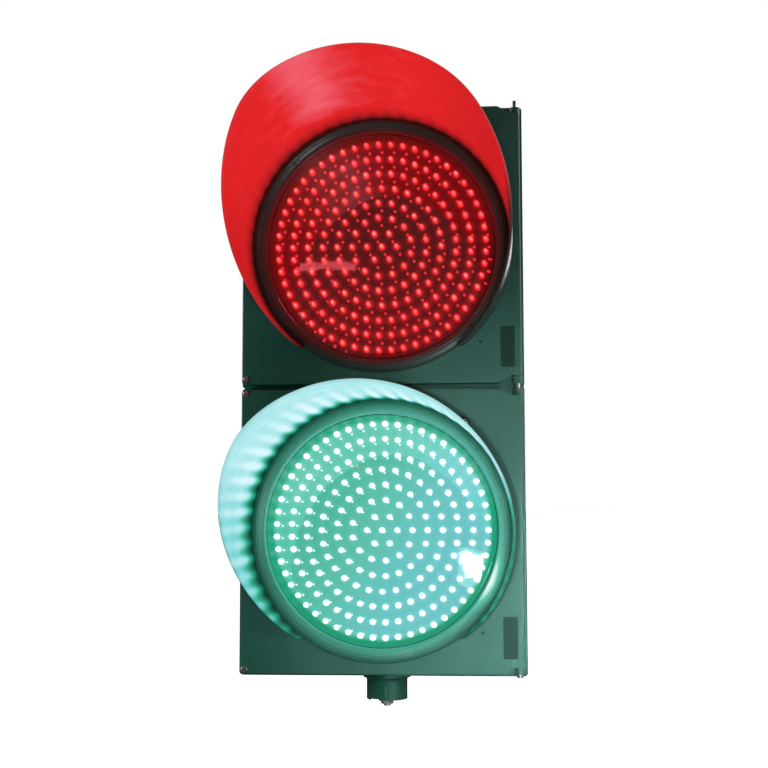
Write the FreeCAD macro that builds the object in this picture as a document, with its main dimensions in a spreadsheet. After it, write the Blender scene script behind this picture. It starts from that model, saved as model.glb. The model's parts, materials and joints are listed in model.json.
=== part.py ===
"""Two-aspect LED traffic signal head, red over green, on one bottom stub.

Millimetres. +X is to the viewer's right, -Y is the front, +Z is up. The origin is the centre of
the stub's lower rim, on the vertical axis that the head turns about when it is aimed.
"""
import FreeCAD, Part
import math
import os

import Sketcher
from FreeCAD import Placement, Rotation, Vector

doc = FreeCAD.newDocument("signal_head")
sheet = doc.addObject("Spreadsheet::Sheet", "dims")

SIZES = (
    ("module_size", 350, "side of one square signal module"),
    ("wall", 3, "housing wall"),
    ("edge_round", 4, "round on the housing's corner edges"),
    ("rear_round", 7, "round on the housing's rear edges"),
    ("housing_rear", 60, "rear face, behind the stub axis"),
    ("rim_front", 57.4, "housing's front rim, ahead of the stub axis"),
    ("lip_depth", 4, "thickness of the rim's inward lip"),
    ("lip_opening", 156, "half of the square opening inside the lip"),
    ("hub_hole", 20, "radius of the holes on the stub axis"),
    ("back_recess", 120, "half of the shallow recess in the rear face"),
    ("recess_depth", 1, "depth of the rear face's recess"),
    ("lug_left", 5.5, "hinge lug, from the hinge axis to its left side"),
    ("lug_right", 6.5, "hinge lug, from the hinge axis to its right side"),
    ("lug_gap", 0.5, "gap between a hinge lug and the door's cut-out"),
    ("door_half", 172, "half of the door's side"),
    ("door_front", 80, "door's front face, ahead of the stub axis"),
    ("door_rear", 58, "rear edge of the door's skirt"),
    ("door_skin", 3, "door panel and skirt thickness"),
    ("door_round", 2.5, "round on the door's front edges"),
    ("aperture", 151, "radius of the lamp hole in the door"),
    ("rib_outer", 161.5, "half of the seal rib, outside"),
    ("rib_skin", 3, "seal rib thickness"),
    ("rib_rear", 60, "rear edge of the seal rib"),
    ("seal_rear", 57.7, "rear face of the door seal"),
    ("seal_side", 0.8, "how far the seal stands out from its rib on each side"),
    ("hinge_x", 166, "hinge axis, right of the module's centre"),
    ("hinge_y", 68, "hinge axis, ahead of the stub axis"),
    ("hinge_relief", 62.5, "rear edge of the door on the hinge side"),
    ("notch_drop", 9.5, "height of the door's corner cut-out"),
    ("notch_top", 28, "length of the cut-out at the door's edge"),
    ("notch_foot", 12, "length of the cut-out at its inner end"),
    ("pin_radius", 2.5, "hinge pin radius"),
    ("pin_gap", 0.05, "running clearance of the hinge pin"),
    ("pin_reach", 20.5, "length of the hinge pin under its head"),
    ("pin_head", 3, "height of a hinge pin's head"),
    ("top_pin_head", 8, "height of the topmost hinge pin's head"),
    ("barrel_height", 14, "height of the door's hinge barrel"),
    ("barrel_bore", 12, "depth of the pin's hole in the barrel"),
    ("relief_gap", 1.5, "from the seal rib to the relieved edge on the hinge side"),
    ("latch_x", 166, "latch screws, left of and above or below centre"),
    ("latch_hole", 2.7, "clearance hole for a latch screw"),
    ("latch_shank", 2.2, "latch screw shank radius"),
    ("latch_tip", 50, "tip of the latch screw, ahead of the stub axis"),
    ("latch_screw_head", 4, "latch screw, radius of its head"),
    ("latch_screw_crown", 2.6, "latch screw, height of its head"),
    ("pillar_radius", 4, "pillar behind the door round a latch screw"),
    ("insert_radius", 4.5, "outside radius of a threaded insert"),
    ("insert_wall", 1.5, "boss wall round an insert"),
    ("insert_gap", 0.05, "gap between an insert and its boss"),
    ("insert_sunk", 0.4, "how far an insert sits below the rim"),
    ("insert_rear", 45.4, "rear face of a threaded insert"),
    ("pad_left", 146, "recessed pad, its left edge"),
    ("pad_right", 164, "recessed pad, its right edge"),
    ("pad_low", 153, "recessed pad, its lower edge below centre"),
    ("pad_high", 102, "recessed pad, its upper edge below centre"),
    ("pad_depth", 0.8, "depth of the recessed pad"),
    ("clip_boss", 122, "clip bosses, each way from the module's centre"),
    ("boss_radius", 6, "radius of a clip boss"),
    ("clip_thread", 1.55, "radius of the clip screw's hole in the boss"),
    ("clip_thread_depth", 6, "depth of the clip screw's hole"),
    ("mark_radius", 2.2, "sink mark on the door in front of a clip boss"),
    ("mark_depth", 0.5, "depth of a sink mark"),
    ("clip_middle", 163, "middle of a clip, from the lamp's axis"),
    ("clip_length", 32, "length of a clip"),
    ("clip_width", 16, "width of a clip"),
    ("clip_skin", 2, "thickness of a clip"),
    ("clip_hole", 1.8, "radius of the hole in a clip"),
    ("clip_screw_head", 3.2, "clip screw, radius of its head"),
    ("clip_screw_crown", 2, "clip screw, height of its head"),
    ("clip_screw_shank", 1.5, "clip screw, shank radius"),
    ("clip_screw_length", 7, "clip screw, length under its head"),
    ("lens_sight", 143, "visible radius of the lens"),
    ("lens_rim", 149.9, "outer radius of the lens"),
    ("lens_skin", 3, "lens thickness"),
    ("lens_rise", 12, "rise of the lens dome"),
    ("bead_front", 85, "where the ring's round front starts"),
    ("bead_radius", 8.6, "radius of the ring's round front"),
    ("bead_inset", 0.5, "from the lens's visible edge to the ring's bore"),
    ("ring_outer", 158.5, "outer radius of the ring"),
    ("ring_lip", 3, "thickness of the ring's rear lip"),
    ("lip_inset", 1.5, "from the ring's outer radius to its rear lip's"),
    ("ring_gap", 0.05, "gap between the ring and the lamp in it"),
    ("sleeve_gap", 0.1, "gap between the ring's sleeve and the lamp hole"),
    ("lamp_radius", 150, "lamp back, flange radius"),
    ("lamp_body", 145, "lamp back, body radius"),
    ("lamp_floor", 105, "lamp back, floor radius"),
    ("lamp_flange", 70, "rear face of the lamp flange"),
    ("lamp_knee", 50, "where the lamp back starts to narrow"),
    ("lamp_rear", 22, "rear face of the lamp back"),
    ("lamp_skin", 3, "thickness of the lamp back"),
    ("post_radius", 4, "radius of a board post"),
    ("post_circle", 90, "circle of the board posts"),
    ("supply_width", 96, "width of the power supply"),
    ("supply_height", 64, "height of the power supply"),
    ("supply_depth", 30, "depth of the power supply"),
    ("supply_round", 4, "round on the power supply's edges"),
    ("board_front", 62, "front face of the LED board"),
    ("board_skin", 1.6, "LED board thickness"),
    ("board_radius", 140, "LED board radius"),
    ("led_pitch", 18.5, "spacing of the LED rings"),
    ("led_radius", 2.5, "LED radius"),
    ("led_barrel", 4, "straight part of an LED"),
    ("visor_inner", 159, "inner radius of the visor"),
    ("visor_skin", 3, "visor thickness"),
    ("visor_length", 288, "visor length at its top"),
    ("visor_middle", 161, "visor length level with the lamp's centre"),
    ("visor_slope", 1.1, "gain in visor length for each unit of height"),
    ("visor_foot", 127, "height below centre where the visor ends"),
    ("shoulder_round", 60, "round of the visor's front shoulder"),
    ("ear_circle", 166, "circle of the visor screws"),
    ("ear_reach", 171.5, "outer end of a visor ear"),
    ("ear_turn", 38, "angle from the top to a side ear"),
    ("ear_half", 7, "half width of a visor ear"),
    ("ear_root", 1, "how far an ear starts outside the visor's bore"),
    ("ear_hole", 2.1, "radius of the screw hole in an ear"),
    ("visor_thread", 2.05, "radius of the visor screw's hole in the door"),
    ("visor_screw_head", 3.6, "visor screw, radius of its head"),
    ("visor_screw_crown", 2.4, "visor screw, height of its head"),
    ("visor_screw_shank", 2, "visor screw, shank radius"),
    ("visor_screw_length", 9, "visor screw, length under its head"),
    ("stub_height", 35, "stub, from its rim to the housing"),
    ("stub_radius", 25, "stub outside radius"),
    ("stub_bore", 21, "stub inside radius"),
    ("flange_radius", 29.5, "stub flange radius"),
    ("flange_low", 27, "underside of the stub flange"),
    ("flange_high", 33, "top of the stub flange"),
    ("flange_sweep", 4.5, "round under the stub flange"),
    ("spigot_gap", 0.05, "running clearance of the stub's spigot"),
    ("spigot_wall", 3, "wall of the spigot"),
    ("notch_left", 19, "cable notch in the stub's rim, its left end"),
    ("notch_right", 8, "cable notch in the stub's rim, its right end"),
    ("notch_height", 1.6, "height of the cable notch"),
    ("clamp_gap", 0.3, "gap between the housing and the clamp, above and below"),
    ("bridge_half", 7, "half width of the bars that hold the clamp bolt"),
    ("bridge_height", 5, "height of the bars that hold the clamp bolt"),
    ("clamp_length", 64, "length of the clamp bar"),
    ("bolt_radius", 4, "clamp bolt radius"),
    ("bolt_play", 0.5, "gap round the clamp bolt in the bars"),
    ("bolt_across", 13, "width across flats of the bolt's head and nut"),
    ("bolt_crown", 5.3, "height of the bolt's head"),
    ("bolt_slot", 1.2, "width of the slot in the bolt's end"),
    ("bolt_slot_depth", 1.6, "depth of the slot in the bolt's end"),
    ("washer_radius", 8, "radius of the clamp washer"),
    ("bolt_drop", 9, "clamp bolt's end, below the stub's rim"),
    ("washer_height", 1.6, "thickness of the clamp washer"),
    ("nut_height", 5, "height of the clamp nut"),
    ("cap_radius", 28, "radius of the flanges and gaskets on the axis"),
    ("gasket_skin", 2, "thickness of the coupling and plug gaskets"),
    ("tube_gap", 0.3, "gap round the coupling tube and the plug"),
    ("tube_wall", 3.7, "wall of the coupling tube and the plug"),
    ("tube_flange", 4, "thickness of the coupling tube's flange"),
    ("tube_reach", 14, "how far the coupling tube passes the walls"),
    ("plug_reach", 16, "how far the plug passes the wall"),
    ("plug_skin", 3, "thickness of the plug's rim"),
    ("plug_crown", 7, "height of the plug's middle"),
    ("ring_nut_height", 8, "height of a ring nut"),
    ("ring_nut_gap", 0.05, "gap between a ring nut and its tube"),
    ("grip_notch", 3, "radius of a ring nut's grip notch"),
    ("rail_level", 62, "foot of the terminal rail, above the housing's floor"),
    ("rail_width", 140, "width of the terminal rail"),
    ("rail_height", 30, "height of the terminal rail"),
    ("rail_skin", 5, "depth of the terminal rail"),
    ("block_width", 90, "width of the terminal block"),
    ("block_height", 22, "height of the terminal block"),
    ("block_depth", 16, "depth of the terminal block"),
    ("block_rise", 4, "terminal block's foot above the rail's"),
    ("terminal_pitch", 14, "spacing of the terminals"),
    ("well_radius", 3.2, "radius of a terminal's well"),
    ("well_depth", 6, "depth of a terminal's well"),
    ("well_floor", 4.5, "depth at which a terminal screw's head seats"),
    ("terminal_screw_head", 2.8, "terminal screw, radius of its head"),
    ("terminal_screw_crown", 1.6, "terminal screw, height of its head"),
    ("terminal_screw_shank", 1, "terminal screw, shank radius"),
    ("terminal_screw_length", 1.5, "terminal screw, length under its head"),
)
for row, (alias, number, note) in enumerate(SIZES, 1):
    sheet.set(f"A{row}", note)
    sheet.set(f"B{row}", str(number))
    sheet.setAlias(f"B{row}", alias)
doc.recompute()

HALF = "(dims.module_size / 2)"
INSIDE = "(dims.module_size / 2 - dims.wall)"
PANEL_REAR = "(dims.door_front - dims.door_skin)"
CENTRES = {
    "green": "(dims.stub_height + dims.module_size / 2)",
    "red": "(dims.stub_height + dims.module_size * 3 / 2)",
}
COLOURS = ("red", "green")
LED_COUNTS = (1, 6, 13, 21, 28, 37, 45, 53)
LED_START = {"red": 180, "green": 0}
TERMINALS = 6
GRIP_NOTCHES = 6
CROWN_ROUND = 0.45
SLOT_WIDTH = "0.9"
FORWARD = Rotation(Vector(1, 0, 0), 90)
BACKWARD = Rotation(Vector(1, 0, 0), -90)
OVER = Rotation(Vector(1, 0, 0), 180)
SUBPARTS = []


def value(expression):
    """The number that a sheet expression gives."""
    return float(sheet.evalExpression(expression))


def keep(piece, label):
    """Name a finished sub-part and list it for export."""
    piece.Label = label
    SUBPARTS.append(piece)
    return piece


def place(piece, x="0", y="0", z="0", turn=None):
    """Turn a piece, then move it to a place that follows the sheet."""
    if turn is not None:
        piece.Placement = Placement(Vector(0, 0, 0), turn)
    for axis, expression in zip("xyz", (x, y, z)):
        piece.setExpression(f"Placement.Base.{axis}", expression)
    return piece


# ---------------------------------------------------------------- sketches and features


def new_body(name):
    return doc.addObject("PartDesign::Body", name)


def new_sketch(body, plane, level="0", turn=0):
    """A sketch on an origin plane, moved along the plane's normal by level."""
    sketch = body.newObject("Sketcher::SketchObject", f"{body.Name}_sketch")
    base = next(item for item in body.Origin.OriginFeatures if item.Role == plane)
    sketch.AttachmentSupport = [(base, "")]
    sketch.MapMode = "FlatFace"
    sketch.AttachmentOffset = Placement(Vector(0, 0, 0), Rotation(Vector(0, 0, 1), turn))
    sketch.setExpression("AttachmentOffset.Base.z", level)
    return sketch


def drive(sketch, kind, refs, expression):
    """Add a dimension that follows the sheet."""
    index = sketch.addConstraint(Sketcher.Constraint(kind, *refs, value(expression)))
    sketch.renameConstraint(index, f"size{index}")
    sketch.setExpression(f"Constraints.size{index}", expression)


def pin_point(sketch, geometry, end, across, up):
    """Fix a sketch point at a place that follows the sheet."""
    for kind, axis, expression in (("DistanceX", -2, across), ("DistanceY", -1, up)):
        if abs(value(expression)) < 1e-9:
            sketch.addConstraint(Sketcher.Constraint("PointOnObject", geometry, end, axis))
        else:
            drive(sketch, kind, (-1, 1, geometry, end), expression)


def add_circle(sketch, across, up, radius):
    centre = Vector(value(across), value(up), 0)
    shape = Part.Circle(centre, Vector(0, 0, 1), value(radius))
    circle = sketch.addGeometry(shape, False)
    drive(sketch, "Radius", (circle,), radius)
    pin_point(sketch, circle, 3, across, up)


def arc_between(start, end, radius, side):
    """The shorter arc of a radius from start to end; side says which way it bulges."""
    chord = end - start
    middle = (start + end) * 0.5
    normal = Vector(-chord.y, chord.x, 0).normalize() * side
    rise = math.sqrt(max(radius ** 2 - (chord.Length / 2) ** 2, 0))
    centre = middle - normal * rise
    crown = centre + normal * radius
    return Part.Arc(start, crown, end)


def add_outline(sketch, corners, arcs=None):
    """A closed outline through corners; arcs maps an edge's number to (radius, side).

    An edge whose radius is None is an arc about the sketch's upright axis.
    """
    arcs = arcs or {}
    points = [Vector(value(across), value(up), 0) for across, up in corners]
    count = len(points)
    ends = []
    for number, start in enumerate(points):
        end = points[(number + 1) % count]
        if number in arcs:
            radius, side = arcs[number]
            if radius is None:
                low, high = sorted((start, end), key=lambda point: abs(point.x))
                drop = high.y - low.y
                size = (high.x ** 2 + drop ** 2) / (2 * abs(drop))
            else:
                size = value(radius)
            arc = arc_between(start, end, size, side)
            circle = arc.toShape().Curve
            curve = sketch.addGeometry(arc, False)
            forward = (circle.Center - start).cross(end - start).z < 0
            ends.append((curve, 1, 2) if forward else (curve, 2, 1))
            if radius is None:
                sketch.addConstraint(Sketcher.Constraint("PointOnObject", curve, 3, -2))
            else:
                drive(sketch, "Radius", (curve,), radius)
        else:
            ends.append((sketch.addGeometry(Part.LineSegment(start, end), False), 1, 2))
    for number in range(count):
        curve, _, finish = ends[number]
        following, begin, _ = ends[(number + 1) % count]
        sketch.addConstraint(Sketcher.Constraint("Coincident", curve, finish, following, begin))
    for number, (across, up) in enumerate(corners):
        curve, begin, _ = ends[number]
        pin_point(sketch, curve, begin, across, up)


def add_box(sketch, left, right, low, high):
    add_outline(sketch, ((left, low), (right, low), (right, high), (left, high)))


def add_square(sketch, half):
    add_box(sketch, f"-{half}", half, f"-{half}", half)


def pad(body, sketch, length, backward=False):
    feature = body.newObject("PartDesign::Pad", f"{body.Name}_pad")
    feature.Profile = sketch
    feature.Reversed = backward
    feature.setExpression("Length", length)
    doc.recompute()
    return feature


def pocket(body, sketch, length, backward=False, both=False):
    """Cut a sketch into the body, and check that it did cut."""
    before = body.Shape.Volume
    feature = body.newObject("PartDesign::Pocket", f"{body.Name}_pocket")
    feature.Profile = sketch
    feature.Reversed = backward
    feature.Midplane = both
    feature.setExpression("Length", length)
    doc.recompute()
    if body.Shape.Volume >= before:
        raise ValueError(f"{feature.Name} cuts nothing")
    return feature


def revolve(body, sketch):
    feature = body.newObject("PartDesign::Revolution", f"{body.Name}_turned")
    feature.Profile = sketch
    feature.ReferenceAxis = (sketch, ["V_Axis"])
    feature.Angle = 360
    doc.recompute()
    return feature


def soften(body, wanted, radius):
    """Round the body's edges that pass the wanted test."""
    base = body.Tip
    names = [f"Edge{n}" for n, edge in enumerate(base.Shape.Edges, 1) if wanted(edge)]
    if not names:
        raise ValueError(f"{body.Name} has no edge to round")
    feature = body.newObject("PartDesign::Fillet", f"{body.Name}_round")
    feature.Base = (base, names)
    feature.setExpression("Radius", radius)
    doc.recompute()
    return feature


def runs_along(edge, axis):
    direction = edge.tangentAt(edge.FirstParameter)
    return edge.Curve.TypeId == "Part::GeomLine" and abs(direction.dot(axis)) > 0.999


def at_level(edge, y):
    return all(abs(vertex.Point.y - y) < 1e-4 for vertex in edge.Vertexes)


# ---------------------------------------------------------------- primitives


def rod(name, radius, length):
    piece = doc.addObject("Part::Cylinder", name)
    piece.setExpression("Radius", radius)
    piece.setExpression("Height", length)
    return piece


def block(name, length, width, height, x="0", y="0", z="0"):
    """A box centred on x and y, standing on z."""
    piece = doc.addObject("Part::Box", name)
    piece.setExpression("Length", length)
    piece.setExpression("Width", width)
    piece.setExpression("Height", height)
    place(piece, f"{x} - ({length}) / 2", f"{y} - ({width}) / 2", z)
    return piece


def hexagon(name, across, height):
    piece = doc.addObject("Part::Prism", name)
    piece.Polygon = 6
    piece.setExpression("Circumradius", f"({across}) / sqrt(3)")
    piece.setExpression("Height", height)
    return piece


def cut(name, base, tool):
    piece = doc.addObject("Part::Cut", name)
    piece.Base = base
    piece.Tool = tool
    return piece


def fuse(name, pieces):
    piece = doc.addObject("Part::MultiFuse", name)
    piece.Shapes = pieces
    return piece


def group(name, pieces):
    piece = doc.addObject("Part::Compound", name)
    piece.Links = pieces
    return piece


def ring(name, outer, inner, height):
    return cut(name, rod(f"{name}_outside", outer, height), rod(f"{name}_bore", inner, height))


def pan_screw(name, kind, shank_radius=None, shank_length=None):
    """A slotted screw: its seat is at the local origin and its head points along local +Z."""
    head_radius = f"dims.{kind}_screw_head"
    head_height = f"dims.{kind}_screw_crown"
    shank_radius = shank_radius or f"dims.{kind}_screw_shank"
    shank_length = shank_length or f"dims.{kind}_screw_length"
    head = rod(f"{name}_head", head_radius, head_height)
    rim = doc.addObject("Part::Fillet", f"{name}_crown")
    rim.Base = head
    doc.recompute()
    crown = value(head_height) * CROWN_ROUND
    top = value(head_height)
    edges = [
        number
        for number, edge in enumerate(head.Shape.Edges, 1)
        if edge.isClosed() and abs(edge.BoundBox.ZMin - top) < 1e-6
    ]
    rim.Edges = [(number, crown, crown) for number in edges]
    shank = place(rod(f"{name}_shank", shank_radius, shank_length), z=f"-({shank_length})")
    slot = block(
        f"{name}_slot", f"3 * {head_radius}", SLOT_WIDTH, head_height, z=f"{head_height} * 0.55"
    )
    return cut(name, fuse(f"{name}_blank", [rim, shank]), slot)


def facing(angle):
    """Local +Z to the front and local +X along a ray at an angle above the module's right."""
    return Rotation(Vector(0, -1, 0), angle).multiply(FORWARD)


# ---------------------------------------------------------------- one signal module


def make_housing(colour):
    """Rear shell: an open box with an inward lip, hinge lugs and bosses for the inserts."""
    body = new_body(f"{colour}_housing")
    sketch = new_sketch(body, "XZ_Plane", "-dims.housing_rear")
    add_square(sketch, HALF)
    pad(body, sketch, "dims.housing_rear + dims.rim_front")
    soften(body, lambda edge: runs_along(edge, Vector(0, 1, 0)), "dims.edge_round")
    rear = value("dims.housing_rear")
    soften(body, lambda edge: at_level(edge, rear), "dims.rear_round")

    sketch = new_sketch(body, "XZ_Plane", "dims.rim_front")
    add_square(sketch, "dims.lip_opening")
    pocket(body, sketch, "dims.lip_depth + 1")
    sketch = new_sketch(body, "XZ_Plane", "dims.rim_front - dims.lip_depth")
    add_square(sketch, INSIDE)
    pocket(body, sketch, "dims.rim_front - dims.lip_depth + dims.housing_rear - dims.wall")

    sketch = new_sketch(body, "XY_Plane")
    add_circle(sketch, "0", "0", "dims.hub_hole")
    pocket(body, sketch, "dims.module_size + 10", both=True)

    sketch = new_sketch(body, "XZ_Plane", "-dims.housing_rear")
    add_square(sketch, "dims.back_recess")
    pocket(body, sketch, "dims.recess_depth", backward=True)

    for side in ("", "-"):
        sketch = new_sketch(body, "XZ_Plane", "dims.rim_front - dims.lip_depth / 2")
        boss_radius = "dims.insert_radius + dims.insert_wall"
        add_circle(sketch, "-dims.latch_x", f"{side}dims.latch_x", boss_radius)
        boss_depth = "dims.rim_front - dims.lip_depth / 2 - dims.insert_rear + dims.wall"
        pad(body, sketch, boss_depth, backward=True)
        sketch = new_sketch(body, "XZ_Plane", "dims.rim_front")
        add_circle(sketch, "-dims.latch_x", f"{side}dims.latch_x", "dims.insert_radius + dims.insert_gap")
        pocket(body, sketch, "dims.rim_front - dims.insert_rear")

    lug_top = "(dims.door_half)"
    lug_foot = "(dims.door_half - dims.notch_drop + dims.lug_gap)"
    for level in (lug_foot, f"-{lug_top}"):
        sketch = new_sketch(body, "XY_Plane", level)
        left = "dims.hinge_x - dims.lug_left"
        right = "dims.hinge_x + dims.lug_right"
        nose = "-dims.hinge_y"
        root = "-dims.rim_front + 1"
        add_outline(
            sketch,
            ((left, root), (left, nose), (right, nose), (right, root)),
            {1: ("dims.lug_right", -1)},
        )
        add_circle(sketch, "dims.hinge_x", "-dims.hinge_y", "dims.pin_radius + dims.pin_gap")
        pad(body, sketch, f"{lug_top} - {lug_foot}")
    place(body, z=CENTRES[colour])
    return keep(body, f"{colour}_housing")


def make_door(colour):
    """Front door: a shallow pan with the lamp hole, the seal rib and the hinge barrels."""
    body = new_body(f"{colour}_door")
    sketch = new_sketch(body, "XZ_Plane", "dims.door_rear")
    add_square(sketch, "dims.door_half")
    pad(body, sketch, "dims.door_front - dims.door_rear")
    soften(body, lambda edge: runs_along(edge, Vector(0, 1, 0)), "dims.edge_round")
    front = -value("dims.door_front")
    soften(body, lambda edge: at_level(edge, front), "dims.door_round")

    inside = "(dims.door_half - dims.door_skin)"
    sketch = new_sketch(body, "XZ_Plane", "dims.door_rear")
    add_square(sketch, inside)
    pocket(body, sketch, f"{PANEL_REAR} - dims.door_rear", backward=True)

    rib_inner = "(dims.rib_outer - dims.rib_skin)"
    sketch = new_sketch(body, "XZ_Plane", "dims.rib_rear")
    add_square(sketch, "dims.rib_outer")
    add_square(sketch, rib_inner)
    pad(body, sketch, f"{PANEL_REAR} + 1 - dims.rib_rear")

    for side in ("", "-"):
        foot = f"{side}(dims.door_half - dims.notch_drop)"
        far = f"{side}(dims.door_half - dims.notch_drop - dims.barrel_height)"
        sketch = new_sketch(body, "XZ_Plane", "dims.hinge_relief")
        right = "dims.door_half - dims.door_skin / 2"
        add_box(sketch, "dims.hinge_x - dims.lug_left", right, far, foot)
        pad(body, sketch, f"{PANEL_REAR} + 1 - dims.hinge_relief")
        sketch = new_sketch(body, "XZ_Plane", "dims.door_rear")
        add_circle(sketch, "-dims.latch_x", f"{side}dims.latch_x", "dims.pillar_radius")
        pad(body, sketch, f"{PANEL_REAR} + 1 - dims.door_rear")
        for across in ("-dims.clip_boss", "dims.clip_boss"):
            sketch = new_sketch(body, "XZ_Plane", "dims.lamp_flange")
            add_circle(sketch, across, f"{side}dims.clip_boss", "dims.boss_radius")
            pad(body, sketch, f"{PANEL_REAR} + 1 - dims.lamp_flange")

    sketch = new_sketch(body, "XZ_Plane", "dims.door_front")
    add_circle(sketch, "0", "0", "dims.aperture")
    pocket(body, sketch, "dims.door_skin + 1")
    sketch = new_sketch(body, "XZ_Plane", "dims.door_rear - 1")
    relief_left = "dims.rib_outer + dims.relief_gap"
    add_box(sketch, relief_left, "dims.door_half + 1", f"-{HALF}", HALF)
    pocket(body, sketch, "dims.hinge_relief - dims.door_rear + 1", backward=True)

    for side in ("", "-"):
        edge = f"{side}(dims.door_half + 1)"
        brink = f"{side}dims.door_half"
        foot = f"{side}(dims.door_half - dims.notch_drop)"
        sketch = new_sketch(body, "XZ_Plane", "dims.door_front")
        corners = (
            ("dims.door_half - dims.notch_top", edge),
            ("dims.door_half - dims.notch_top", brink),
            ("dims.door_half - dims.notch_foot", foot),
            ("dims.door_half + 1", foot),
            ("dims.door_half + 1", edge),
        )
        add_outline(sketch, corners)
        pocket(body, sketch, "dims.door_front - dims.door_rear + 1")
        sketch = new_sketch(body, "XY_Plane", foot)
        add_circle(sketch, "dims.hinge_x", "-dims.hinge_y", "dims.pin_radius + dims.pin_gap")
        pocket(body, sketch, "dims.barrel_bore", backward=side == "-")
        sketch = new_sketch(body, "XZ_Plane", "dims.door_front")
        add_circle(sketch, "-dims.latch_x", f"{side}dims.latch_x", "dims.latch_hole")
        pocket(body, sketch, "dims.door_front - dims.door_rear + 1")
        for across in ("-dims.clip_boss", "dims.clip_boss"):
            sketch = new_sketch(body, "XZ_Plane", "dims.lamp_flange")
            add_circle(sketch, across, f"{side}dims.clip_boss", "dims.clip_thread")
            pocket(body, sketch, "dims.clip_thread_depth", backward=True)
            sketch = new_sketch(body, "XZ_Plane", "dims.door_front")
            add_circle(sketch, across, f"{side}dims.clip_boss", "dims.mark_radius")
            pocket(body, sketch, "dims.mark_depth")

    sketch = new_sketch(body, "XZ_Plane", "dims.door_front")
    add_box(sketch, "dims.pad_left", "dims.pad_right", "-dims.pad_low", "-dims.pad_high")
    pocket(body, sketch, "dims.pad_depth")
    for turn in visor_turns():
        sketch = new_sketch(body, "XZ_Plane", "dims.door_front")
        across = f"dims.ear_circle * sin({turn} * 1 deg)"
        up = f"dims.ear_circle * cos({turn} * 1 deg)"
        add_circle(sketch, across, up, "dims.visor_thread")
        pocket(body, sketch, "dims.door_skin + 1")
    place(body, z=CENTRES[colour])
    return keep(body, f"{colour}_door")


def visor_turns():
    """The visor ears' angles from the top, clockwise."""
    return ("-dims.ear_turn", "0", "dims.ear_turn")


def make_door_seal(colour):
    body = new_body(f"{colour}_door_seal")
    sketch = new_sketch(body, "XZ_Plane", "dims.seal_rear")
    add_square(sketch, "(dims.rib_outer + dims.seal_side)")
    add_square(sketch, "(dims.rib_outer - dims.rib_skin - dims.seal_side)")
    pad(body, sketch, "dims.rib_rear - dims.seal_rear")
    place(body, z=CENTRES[colour])
    return keep(body, f"{colour}_door_seal")


def make_lens(colour):
    """Clear lens: a flat rim and a shallow dome, turned about the lamp's axis."""
    body = new_body(f"{colour}_lens")
    sketch = new_sketch(body, "XY_Plane")
    face = "-dims.door_front"
    back = f"-{PANEL_REAR}"
    corners = (
        ("0", f"{back} - dims.lens_rise"),
        ("0", f"{face} - dims.lens_rise"),
        ("dims.lens_sight", face),
        ("dims.lens_rim", face),
        ("dims.lens_rim", back),
        ("dims.lens_sight", back),
    )
    add_outline(sketch, corners, {1: (None, -1), 5: (None, 1)})
    revolve(body, sketch)
    place(body, z=CENTRES[colour])
    return keep(body, f"{colour}_lens")


def make_lens_ring(colour):
    """Rubber ring: a round bead in front of the door, a sleeve and a lip behind the panel."""
    body = new_body(f"{colour}_lens_ring")
    sketch = new_sketch(body, "XY_Plane")
    face = "-dims.door_front"
    back = f"-{PANEL_REAR}"
    lip = f"-({PANEL_REAR} - dims.ring_lip)"
    sight = "dims.lens_sight + dims.bead_inset"
    bore = "dims.lamp_radius + dims.ring_gap"
    sleeve = "dims.aperture - dims.sleeve_gap"
    corners = (
        (sight, face),
        (sight, "-dims.bead_front"),
        ("dims.ring_outer", "-dims.bead_front"),
        ("dims.ring_outer", face),
        (sleeve, face),
        (sleeve, back),
        ("dims.ring_outer - dims.lip_inset", back),
        ("dims.ring_outer - dims.lip_inset", lip),
        (bore, lip),
        (bore, face),
    )
    add_outline(sketch, corners, {1: ("dims.bead_radius", -1)})
    revolve(body, sketch)
    place(body, z=CENTRES[colour])
    return keep(body, f"{colour}_lens_ring")


def make_lamp_back(colour):
    """Dish behind the LED board: a flange that the clips hold, and a narrowing back."""
    body = new_body(f"{colour}_lamp_back")
    sketch = new_sketch(body, "XY_Plane")
    skin = "dims.lamp_skin"
    corners = (
        (f"dims.lamp_body - {skin}", f"-{PANEL_REAR}"),
        ("dims.lamp_radius", f"-{PANEL_REAR}"),
        ("dims.lamp_radius", "-dims.lamp_flange"),
        ("dims.lamp_body", "-dims.lamp_flange"),
        ("dims.lamp_body", "-dims.lamp_knee"),
        ("dims.lamp_floor", "-dims.lamp_rear"),
        ("0", "-dims.lamp_rear"),
        ("0", f"-dims.lamp_rear - {skin}"),
        (f"dims.lamp_floor - {skin} / 2", f"-dims.lamp_rear - {skin}"),
        (f"dims.lamp_body - {skin}", f"-dims.lamp_knee - {skin} / 2"),
    )
    add_outline(sketch, corners)
    revolve(body, sketch)
    place(body, z=CENTRES[colour])
    return keep(body, f"{colour}_lamp_back")


def make_led_board(colour):
    piece = rod(f"{colour}_led_board", "dims.board_radius", "dims.board_skin")
    place(piece, y="-dims.board_front + dims.board_skin", z=CENTRES[colour], turn=FORWARD)
    return keep(piece, f"{colour}_led_board")


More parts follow.
